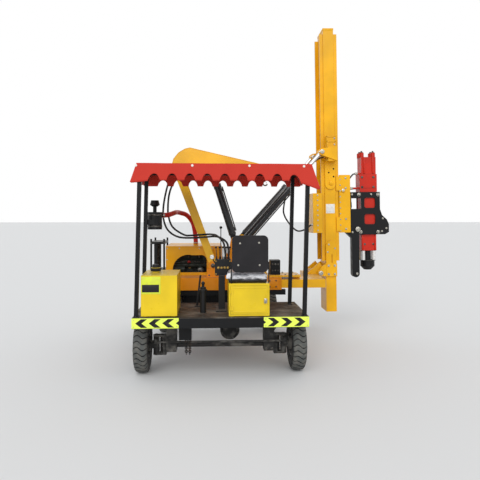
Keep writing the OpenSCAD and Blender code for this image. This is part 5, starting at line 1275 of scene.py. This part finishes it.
with on_jib("jib_welds", jib_paint, smooth=60) as bm:
    for line, inset in ((JIB_EDGE, -WELD_INSET), (JIB_LOWER, WELD_INSET)):
        for (x0, z0), (x1, z1) in zip(line, line[1:]):
            y = JIB_REAR - 0.0005
            weld(bm, (x0, y, z0 + inset), (x1, y, z1 + inset), width=0.006)
with on_jib("jib_pins", oily_steel) as bm:
    x, z = JIB_EYE
    stud(bm, x, z, 1.2315, 1.2260, 0.027, sides=28, bevel=0.0015)
    box(bm, (x + 0.018, 1.2345, z - 0.008), (x + 0.050, 1.2420, z + 0.008), bevel=0.002)
with on_sleeve("jib_foot_pins", oily_steel) as bm:
    stud(bm, -0.080, 1.108, 1.2095, 1.2040, 0.028, sides=28, bevel=0.0015)
    stud(bm, 0.197, 1.432, 1.2345, 1.2290, 0.027, sides=28, bevel=0.0015)
with fittings("hook_latch", zinc, smooth=40, body="hook", slot="bare_steel") as bm:
    rod(bm, (0.607, 1.300, 2.190), (0.626, 1.300, 2.168), 0.0035, sides=10)

# Mast hose: black rubber, from the guard in a hanging loop up beside the tilt cylinder to the head box.
MAST_HOSE = ((1.3267, 1.730, 1.625), (1.308, 1.730, 1.625), (1.270, 1.729, 1.604), (1.200, 1.725, 1.556),
             (1.102, 1.722, 1.544), (1.005, 1.720, 1.630), (0.925, 1.716, 1.760), (0.917, 1.714, 1.880),
             (0.984, 1.710, 2.125), (1.170, 1.706, 2.345), (1.340, 1.703, 2.495), (1.430, 1.702, 2.550),
             (1.494, 1.702, 2.566), (1.5167, 1.702, 2.566))
HOSE_WIDE = 0.022
hose_rubber = rubber("hose_rubber", (26, 27, 29), 0.35)
mast_route = [mast_turn @ at(*p) for p in straight_ended(MAST_HOSE)]
mast_hose = hose_piece("mast_hose_skin", mast_route, HOSE_WIDE, "mast", "black_hose", hose_rubber)
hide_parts("mast_hose")
with fittings("mast_hose_ferrules", zinc, body="mast", slot="black_hose") as bm:
    for a, b in ((mast_route[0], mast_route[1]), (mast_route[-1], mast_route[-2])):
        along = (b - a).normalized()
        rod(bm, a, a + along * 0.030, HOSE_WIDE / 2 + 0.0025, sides=24, bevel=0.001)
        rod(bm, a, a + along * 0.010, HOSE_WIDE / 2 + 0.0060, sides=6, bevel=0.001)

# Hoses from the valve bank to the jib: two black lines that run past its strut and up to the elbow.
# Their upper collars move with the jib.
JIB_HOSE_WIDE, COLLAR_RADIUS = 0.024, 0.0145
JIB_HOSES = (
    ((0.096, 0.590, 1.2665), (0.096, 0.590, 1.300), (0.084, 0.640, 1.420), (0.010, 0.790, 1.480),
     (-0.062, 0.950, 1.492), (-0.160, 1.100, 1.480), (-0.320, 1.160, 1.467), (-0.515, 1.195, 1.476),
     (-0.650, 1.205, 1.560), (-0.708, 1.210, 1.700), (-0.712, 1.220, 1.850), (-0.690, 1.245, 2.010),
     (-0.655, 1.270, 2.160), (-0.610, 1.290, 2.290), (-0.5755, 1.300, 2.330)),
    ((0.060, 0.600, 1.2665), (0.060, 0.600, 1.300), (0.040, 0.660, 1.430), (-0.033, 0.820, 1.503),
     (-0.090, 0.980, 1.515), (-0.159, 1.120, 1.512), (-0.352, 1.185, 1.497), (-0.450, 1.205, 1.505),
     (-0.592, 1.225, 1.600), (-0.648, 1.235, 1.740), (-0.655, 1.245, 1.880), (-0.640, 1.265, 2.030),
     (-0.600, 1.290, 2.150), (-0.5460, 1.305, 2.225)))
for number, points in enumerate(JIB_HOSES, 1):
    route = [at(*p) for p in smooth_path(points)]
    name = f"jib_hose_{number}"
    line = hose_piece(name, route, JIB_HOSE_WIDE, None, "black_hose", hose_rubber)
    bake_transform(line)
    for end, body, a, b in (("_collar", "chassis", route[0], route[2]),
                            ("_far_collar", "jib", route[-1], route[-3])):
        with fittings(name + end, zinc, body=body, slot="black_hose") as bm:
            rod(bm, a, b, COLLAR_RADIUS, bevel=0.001)

# Hammer hoses: two short black lines from the unions down to the carriage.
HAMMER_HOSE_WIDE, UNION_Y = 0.020, 1.865
UNION_HOSES = (
    ((1.8895, UNION_Y, 2.134), (1.872, 1.862, 2.120), (1.868, 1.850, 2.040), (1.888, 1.812, 1.950),
     (1.893, 1.806, 1.860)),
    ((1.9665, UNION_Y, 2.342), (1.935, 1.860, 2.330), (1.885, 1.850, 2.270), (1.845, 1.838, 2.180),
     (1.812, 1.826, 2.100)))
for number, points in enumerate(UNION_HOSES, 1):
    union_route = [mast_turn @ at(*p) for p in smooth_path(points)]
    hose_piece(f"hammer_hose_{number}", union_route, HAMMER_HOSE_WIDE, "carriage", "black_hose", hose_rubber)
with on_hammer("hammer_unions", zinc) as bm:
    for x0, x1, z in ((1.8900, 1.935, 2.134), (1.967, 2.010, 2.342)):
        rod(bm, (x0, UNION_Y, z), (x1, UNION_Y, z), 0.0165, sides=24, bevel=0.0015)
        rod(bm, (x0 + 0.010, UNION_Y, z), (x0 + 0.026, UNION_Y, z), 0.020, sides=6, bevel=0.0015)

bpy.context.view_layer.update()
